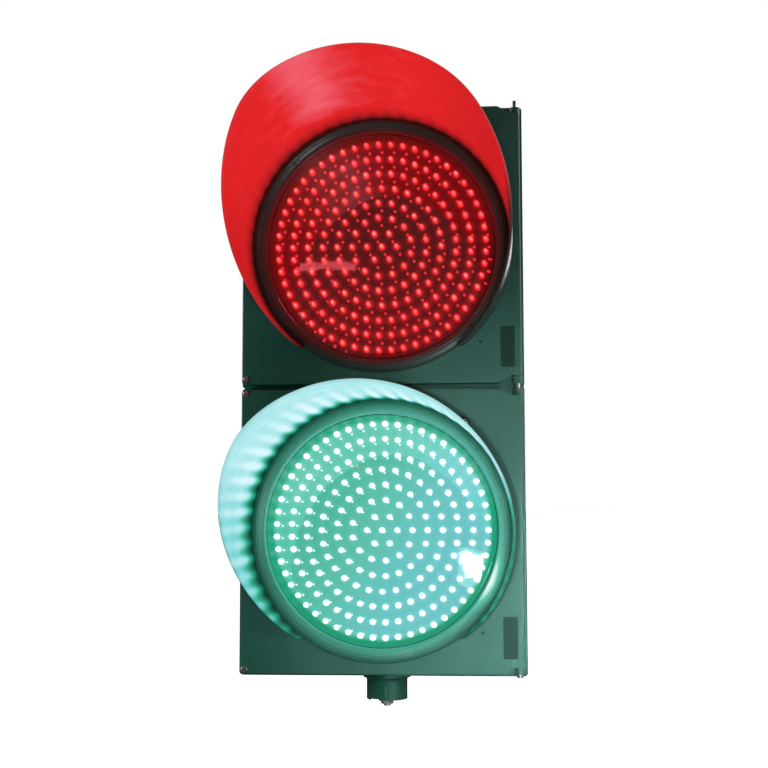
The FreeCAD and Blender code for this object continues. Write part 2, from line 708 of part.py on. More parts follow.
def make_leds(colour):
    """All the LEDs of one board, in rings at one spacing."""
    radius = value("dims.led_radius")
    barrel = value("dims.led_barrel")
    front = Vector(0, -1, 0)
    straight = Part.makeCylinder(radius, barrel, Vector(0, 0, 0), front)
    bulb = Part.makeSphere(radius, front * barrel)
    led = straight.fuse(bulb).removeSplitter()
    leds = []
    for number, count in enumerate(LED_COUNTS):
        for step in range(count):
            angle = math.radians(LED_START[colour] + 360 * step / count)
            reach = number * value("dims.led_pitch")
            copy = led.copy()
            copy.translate(Vector(reach * math.cos(angle), 0, reach * math.sin(angle)))
            leds.append(copy)
    piece = doc.addObject("Part::Feature", f"{colour}_leds")
    piece.Shape = Part.Compound(leds)
    place(piece, y="-dims.board_front", z=CENTRES[colour])
    return keep(piece, f"{colour}_leds")


def make_board_posts(colour):
    """Four posts that hold the LED board off the dish's floor."""
    floor = "(dims.lamp_rear + dims.lamp_skin)"
    board_back = "(dims.board_front - dims.board_skin)"
    posts = []
    for number in range(4):
        post = rod(f"{colour}_post{number}", "dims.post_radius", f"{board_back} - {floor}")
        angle = 45 + 90 * number
        across = f"dims.post_circle * cos({angle} deg)"
        up = f"{CENTRES[colour]} + dims.post_circle * sin({angle} deg)"
        posts.append(place(post, across, f"-{floor}", up, FORWARD))
    return keep(group(f"{colour}_board_posts", posts), f"{colour}_board_posts")


def make_power_supply(colour):
    """Potted supply on the back of the dish."""
    body = new_body(f"{colour}_power_supply")
    sketch = new_sketch(body, "XZ_Plane", "dims.lamp_rear")
    side = "dims.supply_width / 2"
    top = "dims.supply_height / 2"
    add_box(sketch, f"-{side}", side, f"-{top}", top)
    pad(body, sketch, "dims.supply_depth", backward=True)
    soften(body, lambda edge: runs_along(edge, Vector(0, 1, 0)), "dims.supply_round")
    place(body, z=CENTRES[colour])
    return keep(body, f"{colour}_power_supply")


def make_clips(colour):
    """Flat clips at the corners that hold the lamp's flange against the door, and screws."""
    clips = []
    screws = []
    back = "-dims.lamp_flange + dims.clip_skin"
    reach = "dims.clip_boss * sqrt(2)"
    skin = "dims.clip_skin"
    for number in range(4):
        angle = 45 + 90 * number
        name = f"{colour}_clip{number}"
        strip = block(f"{name}_strip", "dims.clip_length", "dims.clip_width", skin, "dims.clip_middle")
        hole = place(rod(f"{name}_hole", "dims.clip_hole", skin), x=reach)
        clip = cut(name, strip, hole)
        clips.append(place(clip, y=back, z=CENTRES[colour], turn=facing(angle)))
        screw = pan_screw(f"{colour}_clip_screw{number}", "clip")
        across = f"{reach} * cos({angle} deg)"
        up = f"{CENTRES[colour]} + {reach} * sin({angle} deg)"
        screws.append(place(screw, across, back, up, BACKWARD))
    keep(group(f"{colour}_lamp_clips", clips), f"{colour}_lamp_clips")
    keep(group(f"{colour}_clip_screws", screws), f"{colour}_clip_screws")


def make_visor(colour):
    """Cap visor: a tube cut by a sloping plane, open below, with three ears at its root."""
    body = new_body(f"{colour}_visor")
    outer = "dims.visor_inner + dims.visor_skin"
    sketch = new_sketch(body, "XZ_Plane", "dims.door_front")
    add_circle(sketch, "0", "0", outer)
    add_circle(sketch, "0", "0", "dims.visor_inner")
    pad(body, sketch, "dims.visor_length")

    sketch = new_sketch(body, "XZ_Plane", "dims.door_front - 1")
    low = f"-{HALF}"
    add_box(sketch, low, HALF, low, "-dims.visor_foot")
    pocket(body, sketch, "dims.visor_length + 2", backward=True)

    tip = "(dims.door_front + dims.visor_length)"
    shoulder = "((dims.visor_length - dims.visor_middle) / dims.visor_slope)"
    toe = "(dims.visor_middle - dims.visor_slope * (dims.visor_foot + 5))"
    lean = "sqrt(1 + dims.visor_slope ^ 2)"
    bend = f"(dims.shoulder_round * ({lean} - 1) / dims.visor_slope)"
    sketch = new_sketch(body, "YZ_Plane")
    corners = (
        (f"-{tip}", f"{shoulder} + {bend}"),
        (
            f"-{tip} + {bend} * dims.visor_slope / {lean}",
            f"{shoulder} - {bend} / {lean}",
        ),
        (f"-dims.door_front - {toe}", "-dims.visor_foot - 5"),
        (f"-{tip} - 5", "-dims.visor_foot - 5"),
        (f"-{tip} - 5", f"{shoulder} + {bend}"),
    )
    add_outline(sketch, corners, {0: ("dims.shoulder_round", -1)})
    pocket(body, sketch, "dims.module_size", both=True)

    sketch = new_sketch(body, "XZ_Plane", "dims.door_front", -value("dims.ear_turn"))
    root = "dims.visor_inner + dims.ear_root"
    add_box(sketch, "-dims.ear_half", "dims.ear_half", root, "dims.ear_reach")
    add_circle(sketch, "0", "dims.ear_circle", "dims.ear_hole")
    ear = pad(body, sketch, "dims.visor_skin")
    ears = body.newObject("PartDesign::PolarPattern", f"{colour}_visor_ears")
    ears.Originals = [ear]
    ears.Axis = (sketch, ["N_Axis"])
    ears.Occurrences = 3
    ears.setExpression("Angle", "2 * dims.ear_turn")
    body.Tip = ears
    doc.recompute()
    place(body, z=CENTRES[colour])
    return keep(body, f"{colour}_visor")


def make_visor_screws(colour):
    screws = []
    seat = "-dims.door_front - dims.visor_skin"
    for number, turn in enumerate(visor_turns()):
        screw = pan_screw(f"{colour}_visor_screw{number}", "visor")
        across = f"dims.ear_circle * sin({turn} * 1 deg)"
        up = f"{CENTRES[colour]} + dims.ear_circle * cos({turn} * 1 deg)"
        screws.append(place(screw, across, seat, up, FORWARD))
    return keep(group(f"{colour}_visor_screws", screws), f"{colour}_visor_screws")


def make_hinge_pins(colour):
    """Two headed pins; the topmost one of the head stands a little proud of the housing."""
    pins = []
    for name, sign, turn in (("upper", "+", Rotation()), ("lower", "-", OVER)):
        topmost = (colour, name) == ("red", "upper")
        head_height = "dims.top_pin_head" if topmost else "dims.pin_head"
        shank = rod(f"{colour}_{name}_pin_shank", "dims.pin_radius", "dims.pin_reach")
        place(shank, z="-dims.pin_reach")
        head = rod(f"{colour}_{name}_pin_head", "dims.pin_radius + 1", head_height)
        pin = fuse(f"{colour}_{name}_pin", [shank, head])
        level = f"{CENTRES[colour]} {sign} dims.door_half"
        pins.append(place(pin, "dims.hinge_x", "-dims.hinge_y", level, turn))
    return keep(group(f"{colour}_hinge_pins", pins), f"{colour}_hinge_pins")


def make_latches(colour):
    """Captive latch screws of one door, and the inserts that they enter."""
    inserts = []
    for name, sign in (("upper", "+"), ("lower", "-")):
        level = f"{CENTRES[colour]} {sign} dims.latch_x"
        length = "dims.door_front - dims.latch_tip"
        screw = pan_screw(f"{colour}_{name}_latch", "latch", "dims.latch_shank", length)
        place(screw, "-dims.latch_x", "-dims.door_front", level, FORWARD)
        keep(screw, f"{colour}_{name}_latch")
        depth = "dims.rim_front - dims.insert_sunk - dims.insert_rear"
        insert = ring(
            f"{colour}_{name}_insert", "dims.insert_radius", "dims.latch_shank + 0.5", depth
        )
        inserts.append(place(insert, "-dims.latch_x", "-dims.insert_rear", level, FORWARD))
    return keep(group(f"{colour}_latch_inserts", inserts), f"{colour}_latch_inserts")


# ---------------------------------------------------------------- parts on the stub axis


def make_stub():
    """Turned stub: a flange, a spigot in the housing's hole and a bar across its foot."""
    body = new_body("stub")
    sketch = new_sketch(body, "XZ_Plane")
    spigot = "dims.hub_hole - dims.spigot_gap"
    top = "dims.stub_height + dims.wall + dims.clamp_gap"
    corners = (
        ("dims.stub_bore", "0"),
        ("dims.stub_radius", "0"),
        ("dims.stub_radius", "dims.flange_low - dims.flange_sweep"),
        ("dims.flange_radius", "dims.flange_low"),
        ("dims.flange_radius", "dims.flange_high"),
        (spigot, "dims.flange_high"),
        (spigot, top),
        ("dims.hub_hole - dims.spigot_wall", top),
        ("dims.hub_hole - dims.spigot_wall", "dims.flange_low"),
        ("dims.stub_bore", "dims.flange_low - 4"),
    )
    add_outline(sketch, corners, {2: ("dims.flange_sweep", 1)})
    revolve(body, sketch)
    sketch = new_sketch(body, "XY_Plane")
    reach = "(dims.stub_bore + 1)"
    bar = "dims.bridge_half"
    add_box(sketch, f"-{bar}", bar, f"-{reach}", reach)
    add_circle(sketch, "0", "0", "dims.bolt_radius + dims.bolt_play")
    pad(body, sketch, "dims.bridge_height")
    sketch = new_sketch(body, "XZ_Plane")
    add_box(sketch, "-dims.notch_left", "-dims.notch_right", "-1", "dims.notch_height")
    pocket(body, sketch, "dims.stub_radius + 5", backward=True)
    place(body)
    return keep(body, "stub")


def make_clamp():
    """Seal, bar, bolt, washer and nut that clamp the head to the stub."""
    height = "dims.stub_height - dims.clamp_gap - dims.flange_high"
    gasket = ring("stub_gasket", "dims.flange_radius - 1", "dims.hub_hole + 1", height)
    keep(place(gasket, z="dims.flange_high"), "stub_gasket")

    seat = "(dims.stub_height + dims.wall + dims.clamp_gap)"
    thick = "dims.bridge_height"
    bar = block("clamp_bar_blank", "2 * dims.bridge_half", "dims.clamp_length", thick, z=seat)
    hole = place(rod("clamp_bar_hole", "dims.bolt_radius + dims.bolt_play", thick), z=seat)
    keep(cut("clamp_bar", bar, hole), "clamp_bar")

    head_seat = f"({seat} + {thick})"
    bolt_length = f"({head_seat} + dims.bolt_drop)"
    shank = place(rod("clamp_bolt_shank", "dims.bolt_radius", bolt_length), z="-dims.bolt_drop")
    head = place(hexagon("clamp_bolt_head", "dims.bolt_across", "dims.bolt_crown"), z=head_seat)
    blank = fuse("clamp_bolt_blank", [shank, head])
    length, depth = "3 * dims.bolt_radius", "dims.bolt_slot_depth"
    slot = block("clamp_bolt_slot", length, "dims.bolt_slot", depth, z="-dims.bolt_drop")
    keep(cut("clamp_bolt", blank, slot), "clamp_bolt")

    bore = "dims.bolt_radius + 0.2"
    washer = ring("clamp_washer", "dims.washer_radius", bore, "dims.washer_height")
    keep(place(washer, z="-dims.washer_height"), "clamp_washer")
    nut = cut(
        "clamp_nut",
        hexagon("clamp_nut_blank", "dims.bolt_across", "dims.nut_height"),
        rod("clamp_nut_bore", "dims.bolt_radius + 0.02", "dims.nut_height"),
    )
    keep(place(nut, z="-dims.washer_height - dims.nut_height"), "clamp_nut")


def ring_nut(name, top):
    """A ring nut with grip notches, hung below a wall."""
    height = "dims.ring_nut_height"
    thread = "dims.hub_hole - dims.tube_gap + dims.ring_nut_gap"
    blank = ring(f"{name}_blank", "dims.cap_radius + 1", thread, height)
    reach = "(dims.cap_radius + 2)"
    notches = []
    for number in range(GRIP_NOTCHES):
        notch = rod(f"{name}_notch{number}", "dims.grip_notch", height)
        angle = 360 / GRIP_NOTCHES * number
        notches.append(place(notch, f"{reach} * cos({angle} deg)", f"{reach} * sin({angle} deg)"))
    nut = cut(name, blank, fuse(f"{name}_notches", notches))
    return place(nut, z=f"{top} - {height}")


def make_joint():
    """Hollow coupling, gasket and ring nut between the two housings."""
    seam = "(dims.stub_height + dims.module_size)"
    floor = f"({seam} + dims.wall)"
    gasket = ring("coupling_gasket", "dims.cap_radius", "dims.hub_hole", "dims.gasket_skin")
    keep(place(gasket, z=floor), "coupling_gasket")

    seat = f"({floor} + dims.gasket_skin)"
    outside = "(dims.hub_hole - dims.tube_gap)"
    bore = f"({outside} - dims.tube_wall)"
    flange = ring("coupling_flange", "dims.cap_radius", bore, "dims.tube_flange")
    length = "(2 * dims.wall + dims.gasket_skin + dims.tube_reach)"
    tube = place(ring("coupling_pipe", outside, bore, length), z=f"{seat} - {length}")
    keep(fuse("coupling_tube", [place(flange, z=seat), tube]), "coupling_tube")
    keep(ring_nut("coupling_nut", f"{seam} - dims.wall"), "coupling_nut")


def make_top_plug():
    """Low cap, gasket and ring nut that close the top hole."""
    roof = "(dims.stub_height + 2 * dims.module_size)"
    gasket = ring("plug_gasket", "dims.cap_radius", "dims.hub_hole", "dims.gasket_skin")
    keep(place(gasket, z=roof), "plug_gasket")
    body = new_body("top_plug")
    sketch = new_sketch(body, "XZ_Plane")
    outside = "dims.hub_hole - dims.tube_gap"
    inside = f"{outside} - dims.tube_wall"
    foot = "-(dims.wall + dims.plug_reach)"
    corners = (
        ("0", "dims.plug_skin"),
        ("0", "dims.plug_crown"),
        ("dims.cap_radius", "dims.plug_skin"),
        ("dims.cap_radius", "0"),
        (outside, "0"),
        (outside, foot),
        (inside, foot),
        (inside, "dims.plug_skin"),
    )
    add_outline(sketch, corners, {1: (None, 1)})
    revolve(body, sketch)
    place(body, z=f"{roof} + dims.gasket_skin")
    keep(body, "top_plug")
    keep(ring_nut("plug_nut", f"{roof} - dims.wall"), "plug_nut")


def make_terminals():
    """Top-hat rail on the lower housing's back wall, with a terminal block and its screws."""
    wall_face = "(dims.housing_rear - dims.wall)"
    level = "(dims.stub_height + dims.rail_level)"
    rail_y = f"({wall_face} - dims.rail_skin / 2)"
    rail = block(
        "terminal_rail", "dims.rail_width", "dims.rail_skin", "dims.rail_height", "0", rail_y, level
    )
    keep(rail, "terminal_rail")
    foot = f"({level} + dims.block_rise)"
    middle = f"({wall_face} - dims.rail_skin - dims.block_depth / 2)"
    blank = block(
        "terminal_blank", "dims.block_width", "dims.block_depth", "dims.block_height", "0", middle, foot
    )
    face = f"({wall_face} - dims.rail_skin - dims.block_depth)"
    up = f"{foot} + dims.block_height / 2"
    screws = []
    wells = []
    for number in range(TERMINALS):
        across = f"dims.terminal_pitch * ({number} - {(TERMINALS - 1) / 2})"
        well = rod(f"terminal_well{number}", "dims.well_radius", "dims.well_depth")
        wells.append(place(well, across, f"{face} + dims.well_depth", up, FORWARD))
        screw = pan_screw(f"terminal_screw{number}", "terminal")
        screws.append(place(screw, across, f"{face} + dims.well_floor", up, FORWARD))
    keep(cut("terminal_block", blank, fuse("terminal_wells", wells)), "terminal_block")
    keep(group("terminal_screws", screws), "terminal_screws")


def make_module(colour):
    make_housing(colour)
    make_door(colour)
    make_door_seal(colour)
    make_lens(colour)
    make_lens_ring(colour)
    make_lamp_back(colour)
    make_led_board(colour)
    make_leds(colour)
    make_board_posts(colour)
    make_power_supply(colour)
    make_clips(colour)
    make_visor(colour)
    make_visor_screws(colour)
    make_hinge_pins(colour)
    make_latches(colour)


def check_document():
    """Stop if any object failed or any sub-part has no sound shape."""
    doc.recompute()
    for item in doc.Objects:
        if {"Invalid", "Error"} & set(item.State):
            raise ValueError(f"{item.Label} failed: {item.State}")
    for piece in SUBPARTS:
        if piece.Shape.isNull() or not piece.Shape.isValid() or not piece.Shape.Solids:
            raise ValueError(f"{piece.Label} has no sound shape")


for name in COLOURS:
    make_module(name)
make_stub()
make_clamp()
make_joint()
make_top_plug()
make_terminals()
check_document()

os.makedirs("parts", exist_ok=True)
for piece in SUBPARTS:
    piece.Shape.exportStep(f"parts/{piece.Label}.step")
    box = piece.Shape.BoundBox
    size = f"{box.XLength:.1f} x {box.YLength:.1f} x {box.ZLength:.1f}"
    print(piece.Label, size, "solids", len(piece.Shape.Solids))
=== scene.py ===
"""Looks of a two-aspect LED traffic signal head, red over green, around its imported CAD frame.

Lengths are in metres. +X is the viewer's right, -Y is the signal's front and +Z is up.
"""
import json
import math

import bmesh
import bpy
import numpy as np
from mathutils import Matrix, Vector


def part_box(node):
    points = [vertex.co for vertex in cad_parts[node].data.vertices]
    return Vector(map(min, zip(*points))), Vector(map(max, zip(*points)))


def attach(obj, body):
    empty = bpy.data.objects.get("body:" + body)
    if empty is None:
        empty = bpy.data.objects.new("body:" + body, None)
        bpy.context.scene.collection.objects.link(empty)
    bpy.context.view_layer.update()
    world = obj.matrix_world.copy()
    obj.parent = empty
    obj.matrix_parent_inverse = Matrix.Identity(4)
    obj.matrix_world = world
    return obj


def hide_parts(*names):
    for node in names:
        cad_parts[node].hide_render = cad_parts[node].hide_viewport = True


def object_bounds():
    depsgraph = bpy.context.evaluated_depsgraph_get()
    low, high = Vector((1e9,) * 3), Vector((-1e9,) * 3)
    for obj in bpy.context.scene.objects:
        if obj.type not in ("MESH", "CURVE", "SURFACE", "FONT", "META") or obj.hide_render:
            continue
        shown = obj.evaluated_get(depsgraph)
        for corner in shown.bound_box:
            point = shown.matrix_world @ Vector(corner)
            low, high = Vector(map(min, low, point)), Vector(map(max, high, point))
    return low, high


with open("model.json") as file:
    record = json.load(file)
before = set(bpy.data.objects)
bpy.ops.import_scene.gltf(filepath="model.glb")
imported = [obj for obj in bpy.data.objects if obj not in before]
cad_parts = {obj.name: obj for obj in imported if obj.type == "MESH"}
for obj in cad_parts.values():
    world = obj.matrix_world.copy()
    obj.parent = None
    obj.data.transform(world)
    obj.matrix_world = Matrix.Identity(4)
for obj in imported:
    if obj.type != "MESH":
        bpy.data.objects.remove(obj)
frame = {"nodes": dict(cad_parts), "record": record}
cad_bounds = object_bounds()

COLOURS = ("red", "green")
LED_COUNTS = (1, 6, 13, 21, 28, 37, 45, 53)  # in each ring of a board, from its centre out
LED_START = {"red": math.pi, "green": 0.0}  # where each ring's first LED is
SEED = 7


# ---------------------------------------------------------------- measures


CAD_LED_RADIUS = 0.0025
DOOR_SKIN = 0.003
LENS_SIGHT = 0.143  # radius of the lens that the ring leaves open
LENS_SKIN = 0.003
TURN_SEGMENTS = 256  # round a lens or a lamp shell
RING_SEGMENTS = 720
RING_GROOVE = 0.1495
RING_GROOVES = ((RING_GROOVE, 0.0007), (0.1462, 0.0003), (0.1540, 0.0004))  # (radius, depth)
RING_GROOVE_WIDTH = 0.0006
RING_SLEEVE = (0.1500, 0.1509)  # inner and outer radius where the ring passes through the door
RING_FLANGE = 0.1570
SHELL_SKIN = 0.003
SHELL_BORE = 0.142
POLE = 0.00002  # where a turned profile ends beside its axis
POLE_REACH = 0.00003  # points this near the axis are joined
VISOR_SKIN = 0.003
VISOR_MIDDLE = 0.161  # the visor's reach at the height of the lamp's centre
VISOR_SLOPE = 1.1  # how much further it reaches for each metre up
SHOULDER_ROUND = 0.060
EAR_TURN = math.radians(38)
EAR_HALF = 0.007
STUB_RADIUS = 0.025
STUB_TOP = 0.0175


class Lamp:
    """The places and sizes of one lamp, read from its CAD nodes."""

    def __init__(self, colour):
        self.colour = colour
        self.body = f"{colour}_front"
        lens_low, lens_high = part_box(f"{colour}_lens")
        ring_low, ring_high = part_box(f"{colour}_lens_ring")
        shell_low, shell_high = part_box(f"{colour}_lamp_back")
        visor_low, visor_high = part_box(f"{colour}_visor")
        board_low, board_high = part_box(f"{colour}_led_board")
        leds_low, leds_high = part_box(f"{colour}_leds")
        self.centre = Vector((0, 0, (lens_low.z + lens_high.z) / 2))
        self.lens_radius = lens_high.x
        self.lens_tip = lens_low.y
        self.lens_back = lens_high.y
        self.shell_radius = shell_high.x
        self.shell_front = shell_low.y
        self.shell_back = shell_high.y
        self.ring_radius = ring_high.x
        self.ring_front = ring_low.y
        self.ring_back = ring_high.y
        self.door_front = visor_high.y
        self.visor_tip = visor_low.y
        self.visor_outer = visor_high.x
        self.visor_foot = visor_low.z - self.centre.z
        self.ear_top = visor_high.z - self.centre.z
        self.board_radius = board_high.x
        self.board_front = board_low.y
        self.board_back = board_high.y
        self.led_tip = leds_low.y
        self.led_reach = leds_high.x - CAD_LED_RADIUS

    def leds(self):
        """Each LED's place across and up from the lamp's centre."""
        places = []
        for number, count in enumerate(LED_COUNTS):
            reach = self.led_reach * number / (len(LED_COUNTS) - 1)
            for step in range(count):
                angle = LED_START[self.colour] + math.tau * step / count
                places.append((reach * math.cos(angle), reach * math.sin(angle)))
        return np.array(places)


# ---------------------------------------------------------------- mesh helpers


def face_outward(mesh):
    """Turn every face of a closed mesh to its outer side."""
    shape = bmesh.new()
    shape.from_mesh(mesh)
    bmesh.ops.recalc_face_normals(shape, faces=shape.faces)
    shape.to_mesh(mesh)
    shape.free()


def new_piece(name, points, faces, body, replaces=()):
    """A smooth-shaded mesh piece that rides with a body."""
    mesh = bpy.data.meshes.new(name)
    mesh.from_pydata([tuple(p) for p in points], [], faces)
    face_outward(mesh)
    mesh.validate()
    mesh.update()
    mesh.shade_smooth()
    piece = bpy.data.objects.new(name, mesh)
    bpy.context.scene.collection.objects.link(piece)
    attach(piece, body)
    if replaces:
        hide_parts(*replaces)
    return piece


def add_attribute(piece, name, values):
    """One number for each vertex, for a material to read."""
    layer = piece.data.attributes.new(name, "FLOAT", "POINT")
    layer.data.foreach_set("value", np.asarray(values, np.float32))


def grid_faces(rows, columns, wrap_rows=False, wrap_columns=False, first=0):
    """Quads between the points of a grid that is stored row by row."""
    faces = []
    for r in range(rows if wrap_rows else rows - 1):
        for c in range(columns if wrap_columns else columns - 1):
            a = first + r * columns + c
            b = first + r * columns + (c + 1) % columns
            d = first + (r + 1) % rows * columns + c
            e = first + (r + 1) % rows * columns + (c + 1) % columns
            faces.append((a, b, e, d))
    return faces


def arc(centre, radius, start, end, steps):
    """Points of an arc in a profile's (radius, y) plane; angles in degrees."""
    turns = np.radians(np.linspace(start, end, steps))
    return [(centre[0] + radius * math.cos(t), centre[1] + radius * math.sin(t)) for t in turns]


def turned(profile, centre, segments):
    """Points and faces of a closed (radius, y) profile turned about a lamp's axis."""
    angles = np.linspace(0, math.tau, segments, endpoint=False)
    points = []
    for angle in angles:
        for radius, y in profile:
            points.append((centre.x + radius * math.sin(angle), y, centre.z + radius * math.cos(angle)))
    return points, grid_faces(segments, len(profile), wrap_rows=True, wrap_columns=True)


def close_poles(piece, centre):
    """Join the points that a turned mesh has on its axis."""
    mesh = bmesh.new()
    mesh.from_mesh(piece.data)
    poles = [v for v in mesh.verts if math.hypot(v.co.x - centre.x, v.co.z - centre.z) < POLE_REACH]
    bmesh.ops.remove_doubles(mesh, verts=poles, dist=2 * POLE_REACH)
    mesh.to_mesh(piece.data)
    mesh.free()


def smoothstep(low, high, x):
    """A smooth step from 0 at low to 1 at high."""
    t = np.clip((x - low) / (high - low), 0, 1)
    return t * t * (3 - 2 * t)


# ---------------------------------------------------------------- materials


def linear(colour):
    """A display colour, 0 to 255, as the linear values that shaders use."""
    parts = [c / 255 for c in colour]
    return tuple(p / 12.92 if p <= 0.04045 else ((p + 0.055) / 1.055) ** 2.4 for p in parts) + (1.0,)


class Shader:
    """A material and short ways to add and link its nodes."""

    def __init__(self, name, **settings):
        self.material = bpy.data.materials.new(name)
        self.material.use_nodes = True
        self.nodes = self.material.node_tree.nodes
        self.links = self.material.node_tree.links
        self.surface = self.nodes["Principled BSDF"]
        for socket, number in settings.items():
            self.surface.inputs[socket.replace("_", " ")].default_value = number
        self.place = self.nodes.new("ShaderNodeTexCoord").outputs["Object"]

    def join(self, source, target):
        """Link one socket to another."""
        self.links.new(source, target)

    def noise(self, scale, detail=3.0, rough=0.55, stretch=None):
        """A noise pattern; scale is the number of features in a metre."""
        node = self.nodes.new("ShaderNodeTexNoise")
        node.inputs["Scale"].default_value = scale
        node.inputs["Detail"].default_value = detail
        node.inputs["Roughness"].default_value = rough
        source = self.place
        if stretch:
            mapping = self.nodes.new("ShaderNodeMapping")
            mapping.inputs["Scale"].default_value = stretch
            self.join(source, mapping.inputs["Vector"])
            source = mapping.outputs["Vector"]
        self.join(source, node.inputs["Vector"])
        return node.outputs["Fac"]

    def ramp(self, source, stops):
        """A colour ramp through (place, linear colour) stops."""
        node = self.nodes.new("ShaderNodeValToRGB")
        elements = node.color_ramp.elements
        while len(elements) < len(stops):
            elements.new(0.5)
        for element, (position, colour) in zip(elements, stops):
            element.position = position
            element.color = colour
        self.join(source, node.inputs["Fac"])
        return node.outputs["Color"]

    def range(self, source, low, high, start=0.3, end=0.7):
        """The source, read from start to end, as a number from low to high."""
        node = self.nodes.new("ShaderNodeMapRange")
        for socket, number in (("From Min", start), ("From Max", end), ("To Min", low), ("To Max", high)):
            node.inputs[socket].default_value = number
        self.join(source, node.inputs["Value"])
        return node.outputs["Result"]

    def math(self, operation, a, b):
        """Two sockets or numbers put through a math operation."""
        node = self.nodes.new("ShaderNodeMath")
        node.operation = operation
        for socket, source in zip(node.inputs, (a, b)):
            if isinstance(source, (int, float)):
                socket.default_value = source
            else:
                self.join(source, socket)
        return node.outputs["Value"]

    def mix(self, factor, a, b):
        """Two colours mixed; a plain colour is given as its linear values."""
        node = self.nodes.new("ShaderNodeMix")
        node.data_type = "RGBA"
        for index, source in ((0, factor), (6, a), (7, b)):
            if isinstance(source, (int, float, tuple)):
                node.inputs[index].default_value = source
            else:
                self.join(source, node.inputs[index])
        return node.outputs[2]

    def attribute(self, name):
        """A number held in the mesh for each vertex."""
        node = self.nodes.new("ShaderNodeAttribute")
        node.attribute_name = name
        return node.outputs["Fac"]

    def bump(self, layers):
        """Bump from (height source, distance) layers, one over another."""
        normal = None
        for source, distance in layers:
            node = self.nodes.new("ShaderNodeBump")
            node.inputs["Distance"].default_value = distance
            self.join(source, node.inputs["Height"])
            if normal:
                self.join(normal, node.inputs["Normal"])
            normal = node.outputs["Normal"]
        self.join(normal, self.surface.inputs["Normal"])

    def glow(self, colour, strength=1.0):
        """Light that the surface gives off."""
        self.join(colour, self.surface.inputs["Emission Color"])
        self.surface.inputs["Emission Strength"].default_value = strength
        self.material.cycles.emission_sampling = "NONE"


def moulded(name, dark, light, rough, grain, height, scuff=None, spill_and_highlight=None, **settings):
    """Moulded plastic or rubber: mottled colour, fine grain, soft waviness and scuffs.

    With spill stops it also shows painted lamp light, held in the piece's glow attribute, and on the green
    ring a painted highlight.
    """
    s = Shader(name, **settings)
    patches = s.noise(9, 4)
    colour = s.mix(s.range(patches, 0, 1), linear(dark), linear(light))
    specks = s.range(s.noise(grain * 0.6, 2), 0, 0.35, 0.52, 0.72)
    colour = s.mix(specks, colour, linear(light))
    if scuff:
        streaks = s.noise(60, 5, 0.7, (1, 1, 0.12))
        colour = s.mix(s.range(streaks, 0, 0.5, 0.6, 0.78), colour, linear(scuff))
    s.join(colour, s.surface.inputs["Base Color"])
    s.join(s.range(s.noise(24, 5, 0.65), rough[0], rough[1]), s.surface.inputs["Roughness"])
    s.bump([(s.noise(30, 2), 0.0004), (s.noise(grain, 3, 0.6), height)])
    if spill_and_highlight:
        cloud = s.range(patches, 0.92, 1.08)
        s.glow(s.ramp(s.math("MULTIPLY", s.attribute("glow"), cloud), spill_and_highlight))
    return s.material


def metal(name, colour, stain, rough, brush=(1, 1, 0.05)):
    """Plated or bare metal: brushed bump, dulled and slightly stained."""
    s = Shader(name, Metallic=1.0)
    patches = s.noise(130, 4, 0.6)
    tint = s.mix(s.range(patches, 0, 1, 0.45, 0.75), linear(colour), linear(stain))
    s.join(tint, s.surface.inputs["Base Color"])
    s.join(s.range(s.noise(220, 3), rough[0], rough[1]), s.surface.inputs["Roughness"])
    s.bump([(s.noise(900, 3, 0.6, brush), 0.00005)])
    return s.material


def make_visor_plastic(colour, stops):
    """Visor plastic; its inner face shows the lamp's light, held in the piece's glow attribute."""
    s = Shader(f"{colour}_visor_finish", Specular_IOR_Level=0.4)
    patches = s.noise(12, 4)
    base = s.mix(s.range(patches, 0, 1), linear((22, 30, 28)), linear((34, 44, 41)))
    s.join(base, s.surface.inputs["Base Color"])
    s.join(s.range(s.noise(24, 5, 0.65), 0.38, 0.55), s.surface.inputs["Roughness"])
    s.bump([(s.noise(26, 2), 0.0003), (s.noise(800, 3, 0.6), 0.00006)])
    cloud = s.range(s.noise(35, 4), 0.94, 1.06)
    light = s.ramp(s.math("MULTIPLY", s.attribute("glow"), cloud), stops)
    s.glow(s.mix(s.range(s.attribute("lit"), 0, 1, 0, 1), (0, 0, 0, 1), light))
    return s.material


def make_glow_material(name, stops, settings, grain, strength):
    """A surface that shows the glow attribute through a ramp, over a fine texture."""
    s = Shader(name, **settings)
    cloud = s.range(s.noise(grain, 3), 0.93, 1.07)
    level = s.math("MULTIPLY", s.attribute("glow"), cloud)
    light = s.ramp(level, stops)
    s.join(s.mix(0.9, light, (0, 0, 0, 1)), s.surface.inputs["Base Color"])
    s.join(s.range(s.noise(grain * 0.5, 3), 0.25, 0.45), s.surface.inputs["Roughness"])
    s.bump([(s.noise(grain * 2, 3), 0.00004)])
    s.glow(light, strength)
    return s.material


def make_clear(name):
    """Clear polycarbonate, with faint flow marks and light scratches."""
    s = Shader(name, Transmission_Weight=1.0, IOR=1.72, Base_Color=(0.98, 1.0, 0.99, 1))
    s.join(s.range(s.noise(40, 5, 0.7), 0.0, 0.05), s.surface.inputs["Roughness"])
    s.bump([(s.noise(18, 2), 0.0003), (s.noise(400, 4, 0.7, (1, 1, 0.2)), 0.000008)])
    return s.material


# ---------------------------------------------------------------- lens, ring and visor


